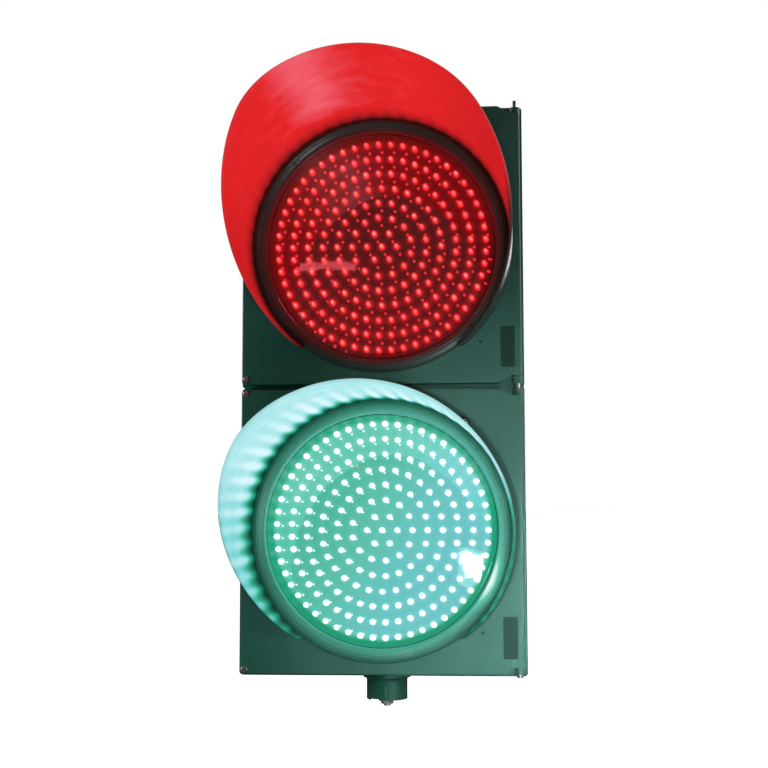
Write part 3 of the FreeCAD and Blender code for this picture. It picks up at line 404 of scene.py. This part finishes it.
def make_lens(lamp, clear):
    """Clear dome with a stepped, rounded rim."""
    half = LENS_SIGHT
    rise = lamp.door_front - lamp.lens_tip
    radius = (half ** 2 + rise ** 2) / (2 * rise)
    middle = lamp.lens_tip + radius
    spread = math.degrees(math.asin((half - 0.004) / radius))
    front = arc((0, middle), radius, -90, -90 + spread, 60)
    back = [(r, y + LENS_SKIN) for r, y in reversed(front)]
    step_y = front[-1][1]
    face = lamp.door_front
    bevel = 0.0006
    rim = [
        (half - 0.0032, step_y + bevel),
        (half - bevel, face - 0.0002),
        (lamp.lens_radius - bevel, face),
        (lamp.lens_radius, face + bevel),
        (lamp.lens_radius, lamp.lens_back - bevel),
        (lamp.lens_radius - bevel, lamp.lens_back),
        (half - 0.002, lamp.lens_back),
    ]
    front[0] = (POLE, front[0][1])
    back[-1] = (POLE, back[-1][1])
    points, faces = turned(front + rim + back, lamp.centre, TURN_SEGMENTS)
    name = f"{lamp.colour}_lens_dome"
    piece = new_piece(name, points, faces, lamp.body, (f"{lamp.colour}_lens",))
    piece.data.materials.append(clear)
    close_poles(piece, lamp.centre)


def make_ring(lamp, rubber, spill_and_highlight):
    """Rubber ring: one broad bead with fine grooves, and two small notches in its inner half."""
    face = lamp.door_front
    outer = lamp.ring_radius
    bore = LENS_SIGHT + 0.0005
    rise = face - lamp.ring_front
    edge = 0.0002
    bead = []
    for share in np.linspace(0.0, 1.0, 56):
        radius = outer + (bore - outer) * share
        swell = (1 - (2 * share - 1) ** 2) ** 0.5
        groove = sum(
            deep * math.exp(-(((radius - at) / RING_GROOVE_WIDTH) ** 2)) for at, deep in RING_GROOVES
        )
        bead.append((radius, face - edge - (rise - edge) * swell + groove))
    sleeve_in, sleeve_out = RING_SLEEVE
    inside = face + DOOR_SKIN
    foot = [(bore, face), (sleeve_in, face), (sleeve_in, lamp.ring_back), (RING_FLANGE, lamp.ring_back)]
    foot += [(RING_FLANGE, inside), (sleeve_out, inside), (sleeve_out, face), (outer - 0.0008, face)]
    points, faces = turned(bead + foot, lamp.centre, RING_SEGMENTS)
    places = np.array(points)
    reach = np.hypot(places[:, 0], places[:, 2] - lamp.centre.z)
    turn = np.arctan2(places[:, 0], places[:, 2] - lamp.centre.z)
    notch_depth = 0.0008
    for notch in (-math.pi / 4, math.pi / 4):
        across = np.abs(turn - notch) * reach
        dip = smoothstep(0.0035, 0.0022, across) * (reach < RING_GROOVE) * (places[:, 1] < face - 0.002)
        places[:, 1] += notch_depth * dip
    name = f"{lamp.colour}_ring_bead"
    piece = new_piece(name, places, faces, lamp.body, (f"{lamp.colour}_lens_ring",))
    inward = smoothstep(outer, bore, reach)
    shown = (places[:, 1] < face + 0.001) | (reach < sleeve_in + 0.0003)
    # the glow paints lamp light on the ring, stronger towards the bore, and on the green ring a painted
    # highlight
    add_attribute(piece, "glow", spill_and_highlight(turn) * (0.40 + 1.0 * inward) * shown)
    piece.data.materials.append(rubber)


def red_spill(turn):
    """Lamp light on the red ring, by angle from the top."""
    return 0.16 + 0.06 * np.cos(turn - math.pi)


def green_spill_and_highlight(turn):
    """Painted lamp light on the green ring, by angle from the top, with a painted highlight at its lower
    right.
    """
    # the last term is the painted highlight, a bright band at the ring's lower right
    return 0.30 + 0.10 * np.cos(turn - 1.4) + 0.40 * np.exp(-(((turn - 2.0) / 0.20) ** 2))


def make_shell(lamp, plastic, light):
    """The dish behind the board; its front rim shows the lamp's light through the lens."""
    front, back, outer = lamp.shell_front, lamp.shell_back, lamp.shell_radius
    floor = back - SHELL_SKIN
    wall = outer - 0.005
    dish = 0.105
    shoulder = back - 0.028
    flange = front + 0.007
    bevel = 0.0006
    profile = [(SHELL_BORE + 0.0004, front)]
    profile += [(outer - bevel, front), (outer, front + bevel), (outer, flange - bevel)]
    profile += [(outer - bevel, flange), (wall, flange), (wall, shoulder)]
    profile += [(dish + 0.002, back - 0.0008), (dish - 0.001, back), (POLE, back)]
    profile += [(POLE, floor), (dish - 0.002, floor), (SHELL_BORE, shoulder - 0.0015)]
    profile += [(SHELL_BORE, lamp.board_back), (SHELL_BORE, front + 0.0004)]
    points, faces = turned(profile, lamp.centre, TURN_SEGMENTS)
    name = f"{lamp.colour}_lamp_shell"
    piece = new_piece(name, points, faces, lamp.body, (f"{lamp.colour}_lamp_back",))
    lit = [light if y < lamp.board_front and r < outer - 0.001 else 0.0 for r, y in profile]
    lit[-2:] = [light, light]
    add_attribute(piece, "glow", np.tile(lit, TURN_SEGMENTS))
    piece.data.materials.append(plastic)
    close_poles(piece, lamp.centre)


def make_label(lamp, finish):
    """Blank rating label in the door's recessed pad."""
    left, right = 0.1464, 0.1636
    foot, top = -0.1526, -0.1024
    front, back = lamp.door_front + 0.0005, lamp.door_front + 0.0008
    corner = 0.0015
    inner_left, inner_right = left + corner, right - corner
    inner_foot, inner_top = foot + corner, top - corner
    outline = arc((inner_right, inner_top), corner, 0, 90, 5)
    outline += arc((inner_left, inner_top), corner, 90, 180, 5)
    outline += arc((inner_left, inner_foot), corner, 180, 270, 5)
    outline += arc((inner_right, inner_foot), corner, 270, 360, 5)
    points = [(x, y, lamp.centre.z + z) for y in (front, back) for x, z in outline]
    count = len(outline)
    faces = grid_faces(2, count, wrap_columns=True)
    faces.append(tuple(range(count)))
    faces.append(tuple(range(2 * count - 1, count - 1, -1)))
    piece = new_piece(f"{lamp.colour}_label", points, faces, lamp.body)
    piece.data.shade_flat()
    piece.data.materials.append(finish)


def make_sink_shade(lamp, finish):
    """A dark disc at the bottom of the door's lower right sink mark: painted shade in its hollow."""
    across, up = 0.122, -0.122
    radius = 0.0021
    bevel = 0.0002
    front = lamp.door_front + 0.0002
    back = front + 0.0003
    profile = [(POLE, front), (radius - bevel, front), (radius, front + bevel), (radius, back), (POLE, back)]
    centre = lamp.centre + Vector((across, 0, up))
    points, faces = turned(profile, centre, 32)
    piece = new_piece(f"{lamp.colour}_sink_mark_shade", points, faces, lamp.body)
    piece.data.materials.append(finish)
    close_poles(piece, centre)


def make_parting_line_and_highlight(finish):
    """The fine ridge that the mould left down the front of the stub, in a finish lighter than the stub's
    that paints a highlight along it.
    """
    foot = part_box("stub")[0].z + 0.001
    half, proud, sunk = 0.0009, 0.0005, 0.0006
    section = ((-half, sunk), (-half * 0.5, -proud), (half * 0.5, -proud), (half, sunk))
    points = [(x, y - STUB_RADIUS, z) for z in (foot, STUB_TOP) for x, y in section]
    faces = grid_faces(2, len(section), wrap_columns=True)
    faces.append((3, 2, 1, 0))
    faces.append((4, 5, 6, 7))
    piece = new_piece("stub_parting_line_and_highlight", points, faces, "mount")
    piece.data.materials.append(finish)


def visor_length(height, full):
    """How far the visor reaches ahead of the door at a height from the lamp's centre."""
    lean = math.hypot(1, VISOR_SLOPE)
    bend = SHOULDER_ROUND * (lean - 1) / VISOR_SLOPE
    knee = (full - VISOR_MIDDLE) / VISOR_SLOPE
    high = knee + bend
    low = knee - bend / lean
    straight = np.minimum(full, VISOR_MIDDLE + VISOR_SLOPE * height)
    round_part = full - SHOULDER_ROUND + np.sqrt(np.maximum(SHOULDER_ROUND ** 2 - (high - height) ** 2, 0))
    return np.where((height < high) & (height > low), round_part, straight)


def make_visor(lamp, plastic, brightness):
    """Cap visor: a thin hood with a rounded lip, three screw ears and its lit inner face."""
    full = lamp.door_front - lamp.visor_tip
    outer = lamp.visor_outer
    inner = outer - VISOR_SKIN
    stations = 480
    rows = 64
    back_rows = 13
    lip = 0.0009
    # Each section runs along the inner face, round the lip and back along the outer face.
    lip_radii = [inner + VISOR_SKIN * share for share in (0.2, 0.5, 0.8)]
    radius = np.array([inner] * rows + lip_radii + [outer] * back_rows)
    outside = [1, 0.99] + list(np.linspace(0.98, 0, back_rows - 2))
    shares = np.array(list(np.linspace(0, 1, rows)) + [1] * len(lip_radii) + outside)
    bulge = np.array([0] * rows + [lip * 0.75, lip, lip * 0.75] + [0] * back_rows)
    points, glow, lit = [], [], []
    for u in np.linspace(-1, 1, stations):
        turn = u * np.arccos(lamp.visor_foot / radius)
        height = radius * np.cos(turn)
        reach = visor_length(height, full) - lip
        depth = reach * shares + bulge
        across = radius * np.sin(turn)
        for x, d, z in zip(across, depth, height):
            points.append((x, lamp.door_front - d, lamp.centre.z + z))
        glow.extend(brightness(turn, depth))
        lit.extend([1.0] * (rows + 2) + [0.85, 0.6] + [0.0] * (back_rows - 1))
    columns = len(radius)
    faces = grid_faces(stations, columns, wrap_columns=True)
    faces.append(tuple(range(columns - 1, -1, -1)))
    faces.append(tuple(range((stations - 1) * columns, stations * columns)))
    for number in (-1, 0, 1):
        add_ear(points, faces, lamp, number * EAR_TURN)
    glow.extend([0.0] * (len(points) - len(glow)))
    lit.extend([0.0] * (len(points) - len(lit)))
    name = f"{lamp.colour}_visor_hood"
    piece = new_piece(name, points, faces, lamp.body, (f"{lamp.colour}_visor",))
    add_attribute(piece, "glow", glow)
    add_attribute(piece, "lit", lit)
    piece.data.materials.append(plastic)


def add_ear(points, faces, lamp, turn):
    """A screw ear at the visor's root: a tab with a round end and a rounded front edge."""
    root = lamp.visor_outer - 0.001
    tip = lamp.ear_top
    face = lamp.door_front
    crown = 0.004
    ends = [(-EAR_HALF, root)]
    for step in np.linspace(math.pi, 0, 13):
        ends.append((EAR_HALF * math.cos(step), tip - crown + crown * math.sin(step)))
    ends.append((EAR_HALF, root))
    first = len(points)
    layers = ((0.0, 0.0), (0.0022, 0.0), (0.0028, 0.0004), (0.0030, 0.0010))
    for depth, inset in layers:
        for across, up in ends:
            x = across * (1 - inset / EAR_HALF)
            z = up - inset * (up > root)
            points.append((
                x * math.cos(turn) + z * math.sin(turn),
                face - depth,
                lamp.centre.z - x * math.sin(turn) + z * math.cos(turn),
            ))
    count = len(ends)
    faces.extend(grid_faces(len(layers), count, wrap_columns=True, first=first))
    faces.append(tuple(first + i for i in range(count)))
    faces.append(tuple(first + (len(layers) - 1) * count + i for i in range(count - 1, -1, -1)))


def petals(turn, rng):
    """How strongly the nearest LED of the outer ring shines at each angle, from 0 to 1."""
    count = LED_COUNTS[-1]
    strength = rng.uniform(0.55, 1.0, count)
    phase = turn / math.tau * count
    nearest = np.round(phase).astype(int) % count
    return (0.5 + 0.5 * np.cos(math.tau * phase)) ** 1.3 * strength[nearest]


def red_brightness(turn, depth):
    """Painted lamp light on the red visor's inner face, by angle from the top and distance from the door,
    with a painted pink highlight left of the top.
    """
    rng = np.random.default_rng(SEED)
    beam = petals(turn, rng)
    level = smoothstep(-0.030, 0.070, depth + 0.008 * beam)
    side = 0.64 + 0.08 * np.cos(turn) - 0.20 * smoothstep(1.2, 2.2, np.abs(turn))
    side = side - 0.16 * smoothstep(0.2, 1.1, turn) - 0.30 * smoothstep(1.2, 1.6, turn)
    # painted highlight: a pink patch on the inner face, left of the top
    painted_highlight = np.exp(-(((turn + 0.40) / 0.20) ** 2))
    return level * side + 0.24 * painted_highlight * smoothstep(0.02, 0.12, depth)


def green_brightness(turn, depth):
    """Light on the green visor's inner face, by angle from the top and distance from the door."""
    rng = np.random.default_rng(SEED)
    beam = petals(turn, rng)
    level = 0.62 * smoothstep(-0.030, 0.075, depth - 0.030 + 0.040 * beam)
    streak = 0.34 * beam * smoothstep(0.015, 0.06, depth) * smoothstep(0.27, 0.08, depth)
    side = 0.96 - 0.26 * smoothstep(-0.9, -1.7, turn) - 0.26 * smoothstep(-1.7, -2.4, turn)
    side = side - 0.78 * smoothstep(1.05, 1.55, turn)
    return (level + streak) * side


# ---------------------------------------------------------------- LED boards


def make_board(lamp, lacquer, shade):
    """The LED board: a disc with the light that its LEDs spill on it."""
    rings = 128
    segments = 720
    reach, bore = lamp.board_radius, 0.0004
    profile = [(radius, lamp.board_front) for radius in np.linspace(bore, reach, rings)]
    profile += [(reach, lamp.board_front + 0.0003), (reach, lamp.board_back), (bore, lamp.board_back)]
    angles = np.linspace(0, math.tau, segments, endpoint=False)
    points = []
    for radius, y in profile:
        for angle in angles:
            points.append((radius * math.cos(angle), y, radius * math.sin(angle)))
    faces = grid_faces(len(profile), segments, wrap_columns=True)
    faces.append(tuple(range(segments - 1, -1, -1)))
    last = (len(profile) - 1) * segments
    faces.append(tuple(range(last, last + segments)))
    places = np.array(points)
    glow = shade(places[:, 0], places[:, 2], lamp)
    glow[rings * segments:] = 0
    places[:, 2] += lamp.centre.z
    name = f"{lamp.colour}_board_face"
    piece = new_piece(name, places, faces, lamp.body, (f"{lamp.colour}_led_board",))
    add_attribute(piece, "glow", glow)
    piece.data.materials.append(lacquer)


def halo(x, z, lamp, size):
    """Light spilled round each LED on its board."""
    total = np.zeros_like(x)
    for across, up in lamp.leds():
        square = (x - across) ** 2 + (z - up) ** 2
        near = square < (4 * size) ** 2
        total[near] += np.exp(-square[near] / size ** 2)
    return total


def red_shade(x, z, lamp):
    """Light on the red board, by place from its centre."""
    reach = np.hypot(x, z)
    field = 0.22 + 0.10 * smoothstep(0.05, -0.10, z) + 0.66 * halo(x, z, lamp, 0.0054)
    return field * (1 - 0.30 * smoothstep(0.131, 0.137, reach))


def green_shade(x, z, lamp):
    """Light on the green board, by place from its centre."""
    reach = np.hypot(x, z)
    field = 0.44 + 0.28 * smoothstep(-0.12, 0.10, x - z * 0.5) + 0.26 * halo(x, z, lamp, 0.0050)
    return field - (field - 0.25) * smoothstep(0.128, 0.136, reach)


def make_leds(lamp, resin, spread, stretch, tilt, painted_glint_offset):
    """Oval LED domes, brightest at the tip, each with a painted glint: a small, weakly glowing dome on the
    board where the lens would mirror the LED.
    """
    rng = np.random.default_rng(SEED)
    height = lamp.board_front - lamp.led_tip
    foot = lamp.board_front - 0.00005
    sides = 16
    # (share of the radius, share of the height) from the foot up
    shape = [(1.0, 0.0), (1.0, 0.35), (0.94, 0.6), (0.78, 0.82), (0.52, 0.95), (0.25, 0.99)]
    points, faces, glow = [], [], []

    def dome(across, up, radius, tall, long, turn, bright):
        first = len(points)
        for share, level in shape:
            for step in range(sides):
                angle = math.tau * step / sides
                u = radius * share * long * math.cos(angle)
                v = radius * share * math.sin(angle)
                x = across + u * math.cos(turn) - v * math.sin(turn)
                z = up + u * math.sin(turn) + v * math.cos(turn)
                points.append((x, foot - tall * level, lamp.centre.z + z))
                glow.append(bright * (0.25 + 0.75 * (1 - share ** 2)))
        points.append((across, foot - tall, lamp.centre.z + up))
        glow.append(bright)
        faces.extend(grid_faces(len(shape), sides, wrap_columns=True, first=first))
        top = first + (len(shape) - 1) * sides
        for step in range(sides):
            faces.append((top + step, top + (step + 1) % sides, len(points) - 1))
        faces.append(tuple(first + i for i in range(sides - 1, -1, -1)))

    painted_glint_height, painted_glint_stretch = 0.0007, 1.1
    for x, z in lamp.leds():
        dome(x, z, spread * rng.uniform(0.94, 1.06), height, stretch, tilt, rng.uniform(0.88, 1.0))
        # painted reflection: a small glowing dome beside the LED, where the lens would mirror it
        aside, above = painted_glint_offset(x, z)
        if math.hypot(x + aside, z + above) < lamp.board_radius - 0.003:
            bright = rng.uniform(0.34, 0.50)
            size = PAINTED_GLINT_SIZE[lamp.colour]
            dome(x + aside, z + above, size, painted_glint_height, painted_glint_stretch, tilt, bright)
    name = f"{lamp.colour}_led_domes"
    piece = new_piece(name, points, faces, lamp.body, (f"{lamp.colour}_leds",))
    add_attribute(piece, "glow", glow)
    piece.data.materials.append(resin)


# ---------------------------------------------------------------- making

# The finish of each material slot whose CAD nodes show.
FINISHES = {
    "housing_plastic": moulded(
        "housing_finish", (32, 60, 53), (44, 75, 67), (0.42, 0.58), 900, 0.00010, (70, 102, 93)
    ),
    "door_plastic": moulded(
        "door_finish", (34, 63, 56), (46, 78, 70), (0.40, 0.56), 900, 0.00010, (72, 104, 95)
    ),
    "seal_rubber": moulded("seal_finish", (16, 17, 17), (26, 27, 27), (0.6, 0.8), 1200, 0.00006),
    "supply_plastic": moulded("supply_finish", (24, 24, 26), (36, 36, 38), (0.4, 0.6), 700, 0.00008),
    "post_nylon": moulded("post_finish", (214, 210, 196), (228, 225, 214), (0.4, 0.55), 800, 0.00005),
    "stub_plastic": moulded(
        "stub_finish", (9, 48, 39), (14, 58, 47), (0.35, 0.5), 900, 0.00008, (60, 104, 92)
    ),
    "terminal_plastic": moulded(
        "terminal_finish", (196, 192, 178), (214, 210, 198), (0.4, 0.55), 800, 0.00005
    ),
    "zinc_steel": metal("zinc_finish", (206, 208, 206), (150, 152, 146), (0.25, 0.5)),
    "stainless": metal("stainless_finish", (198, 200, 200), (150, 152, 152), (0.18, 0.4)),
    "brass": metal("brass_finish", (196, 160, 84), (138, 104, 52), (0.25, 0.5)),
}
# Colours of the lamps' light on each kind of piece, from dark to bright; on every piece but the LEDs it is
# painted light, and the top stops of the red visor and the green ring are painted highlights.
VISOR_STOPS = {
    "red": (
        (0.0, linear((26, 8, 8))),
        (0.18, linear((84, 10, 12))),
        (0.42, linear((186, 18, 24))),
        (0.72, linear((224, 24, 30))),
        # the pink top stop colours the painted highlight patch
        (1.0, linear((238, 96, 112))),
    ),
    "green": (
        (0.0, linear((6, 52, 42))),
        (0.10, linear((16, 120, 92))),
        (0.24, linear((34, 168, 134))),
        (0.44, linear((118, 204, 206))),
        (0.72, linear((196, 232, 238))),
        (1.0, linear((240, 250, 252))),
    ),
}
BOARD_STOPS = {
    "red": ((0.0, linear((16, 5, 5))), (0.35, linear((96, 8, 11))), (1.0, linear((220, 26, 36)))),
    "green": (
        (0.0, linear((10, 70, 54))),
        (0.22, linear((12, 146, 108))),
        (0.40, linear((66, 180, 146))),
        (0.60, linear((98, 194, 176))),
        (0.76, linear((112, 200, 204))),
        (1.0, linear((174, 228, 238))),
    ),
}
LED_STOPS = {
    "red": (
        (0.0, linear((170, 16, 24))),
        (0.45, linear((240, 40, 50))),
        (0.8, linear((252, 84, 84))),
        (1.0, linear((255, 168, 150))),
    ),
    "green": ((0.0, linear((130, 214, 208))), (0.35, linear((222, 246, 246))), (0.6, (1, 1, 1, 1))),
}
BOARD_STRENGTH = 1.08
LED_STRENGTH = 1.3
SPILL_AND_HIGHLIGHT_STOPS = {
    "red": ((0.0, (0, 0, 0, 1)), (0.4, linear((30, 10, 10))), (1.0, linear((90, 14, 18)))),
    "green": (
        (0.0, (0, 0, 0, 1)),
        (0.28, linear((22, 104, 84))),
        (0.70, linear((84, 186, 166))),
        # the near-white top stop colours the green ring's painted highlight
        (1.0, linear((226, 246, 240))),
    ),
}
SHELL_LIGHT = {"red": 0.85, "green": 0.56}
SPILL_AND_HIGHLIGHT = {"red": red_spill, "green": green_spill_and_highlight}
BRIGHTNESS = {"red": red_brightness, "green": green_brightness}
SHADE = {"red": red_shade, "green": green_shade}
# Where each LED's painted glint sits, from the LED's own place: a glowing dome that stands in for the LED
# mirrored in the lens.
PAINTED_GLINT_OFFSET = {
    "red": lambda x, z: (0.0042, -0.0098),
    "green": lambda x, z: (0.030 * (0.100 - x), 0.030 * (-0.070 - z)),
}
LED_SPREAD = {"red": 0.0034, "green": 0.0036}
PAINTED_GLINT_SIZE = {"red": 0.0019, "green": 0.0014}
LED_TILT = {"red": math.radians(-62), "green": math.radians(-20)}
LED_STRETCH = {"red": 1.35, "green": 1.12}


def make_lamps():
    """Every Blender piece of both lamps, with its material."""
    clear = make_clear("clear_finish")
    # The label's finish; the sink mark's disc also uses it as painted shade.
    label = moulded("label_and_sink_shade_finish", (12, 32, 27), (18, 40, 34), (0.36, 0.50), 700, 0.00004, (32, 56, 50))
    for colour in COLOURS:
        lamp = Lamp(colour)
        stops = SPILL_AND_HIGHLIGHT_STOPS[colour]
        rubber = moulded(
            f"{colour}_ring_finish", (34, 40, 38), (46, 53, 50), (0.26, 0.40), 1400, 0.00003,
            (84, 92, 88), stops,
        )
        shell = moulded(
            f"{colour}_shell_finish", (20, 24, 23), (32, 38, 36), (0.45, 0.6), 900, 0.00008,
            (52, 58, 56), stops,
        )
        make_lens(lamp, clear)
        make_ring(lamp, rubber, SPILL_AND_HIGHLIGHT[colour])
        make_shell(lamp, shell, SHELL_LIGHT[colour])
        make_label(lamp, label)
        # painted shade: a dark disc in the sink mark's hollow
        make_sink_shade(lamp, label)
        make_visor(lamp, make_visor_plastic(colour, VISOR_STOPS[colour]), BRIGHTNESS[colour])
        lacquer = make_glow_material(
            f"{colour}_board_finish", BOARD_STOPS[colour], {"Specular_IOR_Level": 0.1}, 300, BOARD_STRENGTH
        )
        make_board(lamp, lacquer, SHADE[colour])
        resin = make_glow_material(
            f"{colour}_led_finish", LED_STOPS[colour], {"Coat_Weight": 0.3}, 500, LED_STRENGTH
        )
        make_leds(lamp, resin, LED_SPREAD[colour], LED_STRETCH[colour], LED_TILT[colour], PAINTED_GLINT_OFFSET[colour])


def paint_cad_nodes():
    """Every CAD node that shows takes the finish of its slot in the record."""
    for row in frame["record"]["subparts"]:
        finish = FINISHES.get(row["material_slot"])
        if finish is not None:
            for slot in frame["nodes"][row["node"]].material_slots:
                slot.material = finish


# ---------------------------------------------------------------- stage, lights and camera

FLOOR_DROP = 0.30
FLOOR_HALF = 30
CAMERA_PLACE = (0.1565, -1.766, 0.2606)
CAMERA_TURNS = (4.02, 5.49, -0.20)  # yaw, pitch and roll in degrees
CAMERA_LENS = 65.14
CAMERA_SHIFT = (-0.0362, -0.0380)
SKY_SEEN = 1.0
SKY_LIGHT = 0.05
ALL_PIECES = "all_pieces"
ALL_BUT_RED_LENS = "all_but_red_lens"


def aim(obj, place, target):
    """Place an object and point it at a target."""
    obj.location = place
    direction = Vector(target) - Vector(place)
    obj.rotation_euler = direction.to_track_quat("-Z", "Y").to_euler()


def receivers(name, left_out):
    """A light group: every piece takes the light but the ones left out."""
    group = bpy.data.collections.new(name)
    for piece in left_out:
        group.objects.link(piece)
    for row in group.collection_objects:
        row.light_linking.link_state = "EXCLUDE"


def add_light(
    name, place, target, width, height, radiance,
    tint=(1, 1, 1), mirrored=True, spread=180, group=ALL_PIECES,
):
    """A soft box; its power follows from its size and how bright it looks."""
    data = bpy.data.lights.new(name, "AREA")
    data.shape = "RECTANGLE"
    data.size = width
    data.size_y = height
    data.energy = radiance * math.pi * width * height
    data.color = tint
    data.spread = math.radians(spread)
    light = bpy.data.objects.new(name, data)
    bpy.context.scene.collection.objects.link(light)
    light.visible_glossy = mirrored
    light.visible_transmission = mirrored
    light.visible_camera = False
    light.light_linking.receiver_collection = bpy.data.collections[group]
    aim(light, place, target)


def make_floor():
    """A wide shadow-catching floor below the head; none of the lights reaches it."""
    floor_z = cad_bounds[0][2] - FLOOR_DROP
    sides = ((-1, -1), (1, -1), (1, 1), (-1, 1))
    mesh = bpy.data.meshes.new("floor")
    mesh.from_pydata([(x * FLOOR_HALF, y * FLOOR_HALF, floor_z) for x, y in sides], [], [(0, 1, 2, 3)])
    floor = bpy.data.objects.new("floor", mesh)
    bpy.context.scene.collection.objects.link(floor)
    s = Shader("floor_finish", Roughness=0.9)
    tint = s.mix(s.range(s.noise(3, 3), 0, 1), (0.86, 0.86, 0.86, 1), (0.9, 0.9, 0.9, 1))
    s.join(tint, s.surface.inputs["Base Color"])
    mesh.materials.append(s.material)
    floor.is_shadow_catcher = True
    receivers(ALL_PIECES, [floor])
    receivers(ALL_BUT_RED_LENS, [floor, bpy.data.objects["red_lens_dome"]])


def make_sky():
    """A white surround that lights the head only a little."""
    world = bpy.data.worlds.new("studio")
    bpy.context.scene.world = world
    world.use_nodes = True
    nodes = world.node_tree.nodes
    links = world.node_tree.links
    seen = nodes.new("ShaderNodeLightPath").outputs["Is Camera Ray"]
    strength = nodes.new("ShaderNodeMapRange")
    strength.inputs["To Min"].default_value = SKY_LIGHT
    strength.inputs["To Max"].default_value = SKY_SEEN
    links.new(seen, strength.inputs["Value"])
    links.new(strength.outputs["Result"], nodes["Background"].inputs["Strength"])
    nodes["Background"].inputs["Color"].default_value = (1, 1, 1, 1)


def make_lights():
    """Windows that the lenses mirror, lamps close to the rings, soft boxes and a flash."""
    teal = (0.75, 1, 0.98)
    windows = (
        ("window_right", (0.62, -2.0, -0.14), 0.22, 0.20, 26),
        ("window_right_low", (0.74, -2.0, -0.28), 0.18, 0.16, 20),
        ("window_right_side", (0.50, -2.0, -0.07), 0.10, 0.10, 12),
        ("window_haze", (0.66, -2.02, -0.18), 0.44, 0.36, 1.4),
    )
    for name, place, width, height, radiance in windows:
        add_light(name, place, (0.1, 0, 0.2), width, height, radiance, teal, group=ALL_BUT_RED_LENS)
    add_light("strip_left", (-0.84, -2.0, 0.735), (0, 0, 0.5), 0.96, 0.07, 3.4, (1, 0.12, 0.16))
    add_light("lamp_right", (0.38, -0.40, 0.12), (0.14, 0, 0.16), 0.14, 0.14, 29, (0.6, 1, 0.95))
    add_light("lamp_left", (-0.50, -0.50, 0.20), (-0.14, 0, 0.18), 0.14, 0.14, 30, (0.10, 1, 0.82), False)
    add_light("box_top", (0.2, -0.5, 2.4), (0, 0, 0.6), 1.4, 0.8, 3.0)
    add_light("box_left", (-3.0, 0.7, 1.3), (0, 0, 0.4), 2.0, 2.0, 5.0)
    add_light("box_right", (3.0, 0.7, 1.3), (0, 0, 0.4), 2.0, 2.0, 5.0)
    add_light("box_back", (0.4, 3.4, 1.5), (0, 0, 0.4), 2.6, 2.0, 5.0)
    low, high = cad_bounds
    middle = (Vector(low) + Vector(high)) / 2
    flash = Vector(CAMERA_PLACE) + Vector((-0.05, 0, 0))
    add_light("flash", flash, middle, 0.03, 0.03, 950, mirrored=False)
    add_light("flash_low", flash, (0.21, -0.09, 0.15), 0.03, 0.03, 480, mirrored=False, spread=26)


def make_camera():
    """The camera, in front of the head and a little to its right, looking up at it."""
    yaw, pitch, roll = (math.radians(turn) for turn in CAMERA_TURNS)
    ahead = Vector((-math.sin(yaw) * math.cos(pitch), math.cos(yaw) * math.cos(pitch), math.sin(pitch)))
    right = Vector((math.cos(yaw), math.sin(yaw), 0))
    up = right.cross(ahead)
    across = right * math.cos(roll) + up * math.sin(roll)
    above = up * math.cos(roll) - right * math.sin(roll)
    data = bpy.data.cameras.new("camera")
    data.lens = CAMERA_LENS
    data.sensor_width = 36
    data.shift_x, data.shift_y = CAMERA_SHIFT
    data.clip_end = 100
    camera = bpy.data.objects.new("camera", data)
    bpy.context.scene.collection.objects.link(camera)
    turn = Matrix((across, above, -ahead)).transposed().to_4x4()
    camera.matrix_world = Matrix.Translation(CAMERA_PLACE) @ turn
    bpy.context.scene.camera = camera


make_camera()
make_lamps()
# the door's finish, lighter than the stub's, is a painted highlight along the ridge
make_parting_line_and_highlight(FINISHES["door_plastic"])
paint_cad_nodes()
make_floor()
make_sky()
make_lights()
bpy.context.scene.view_settings.view_transform = "Standard"
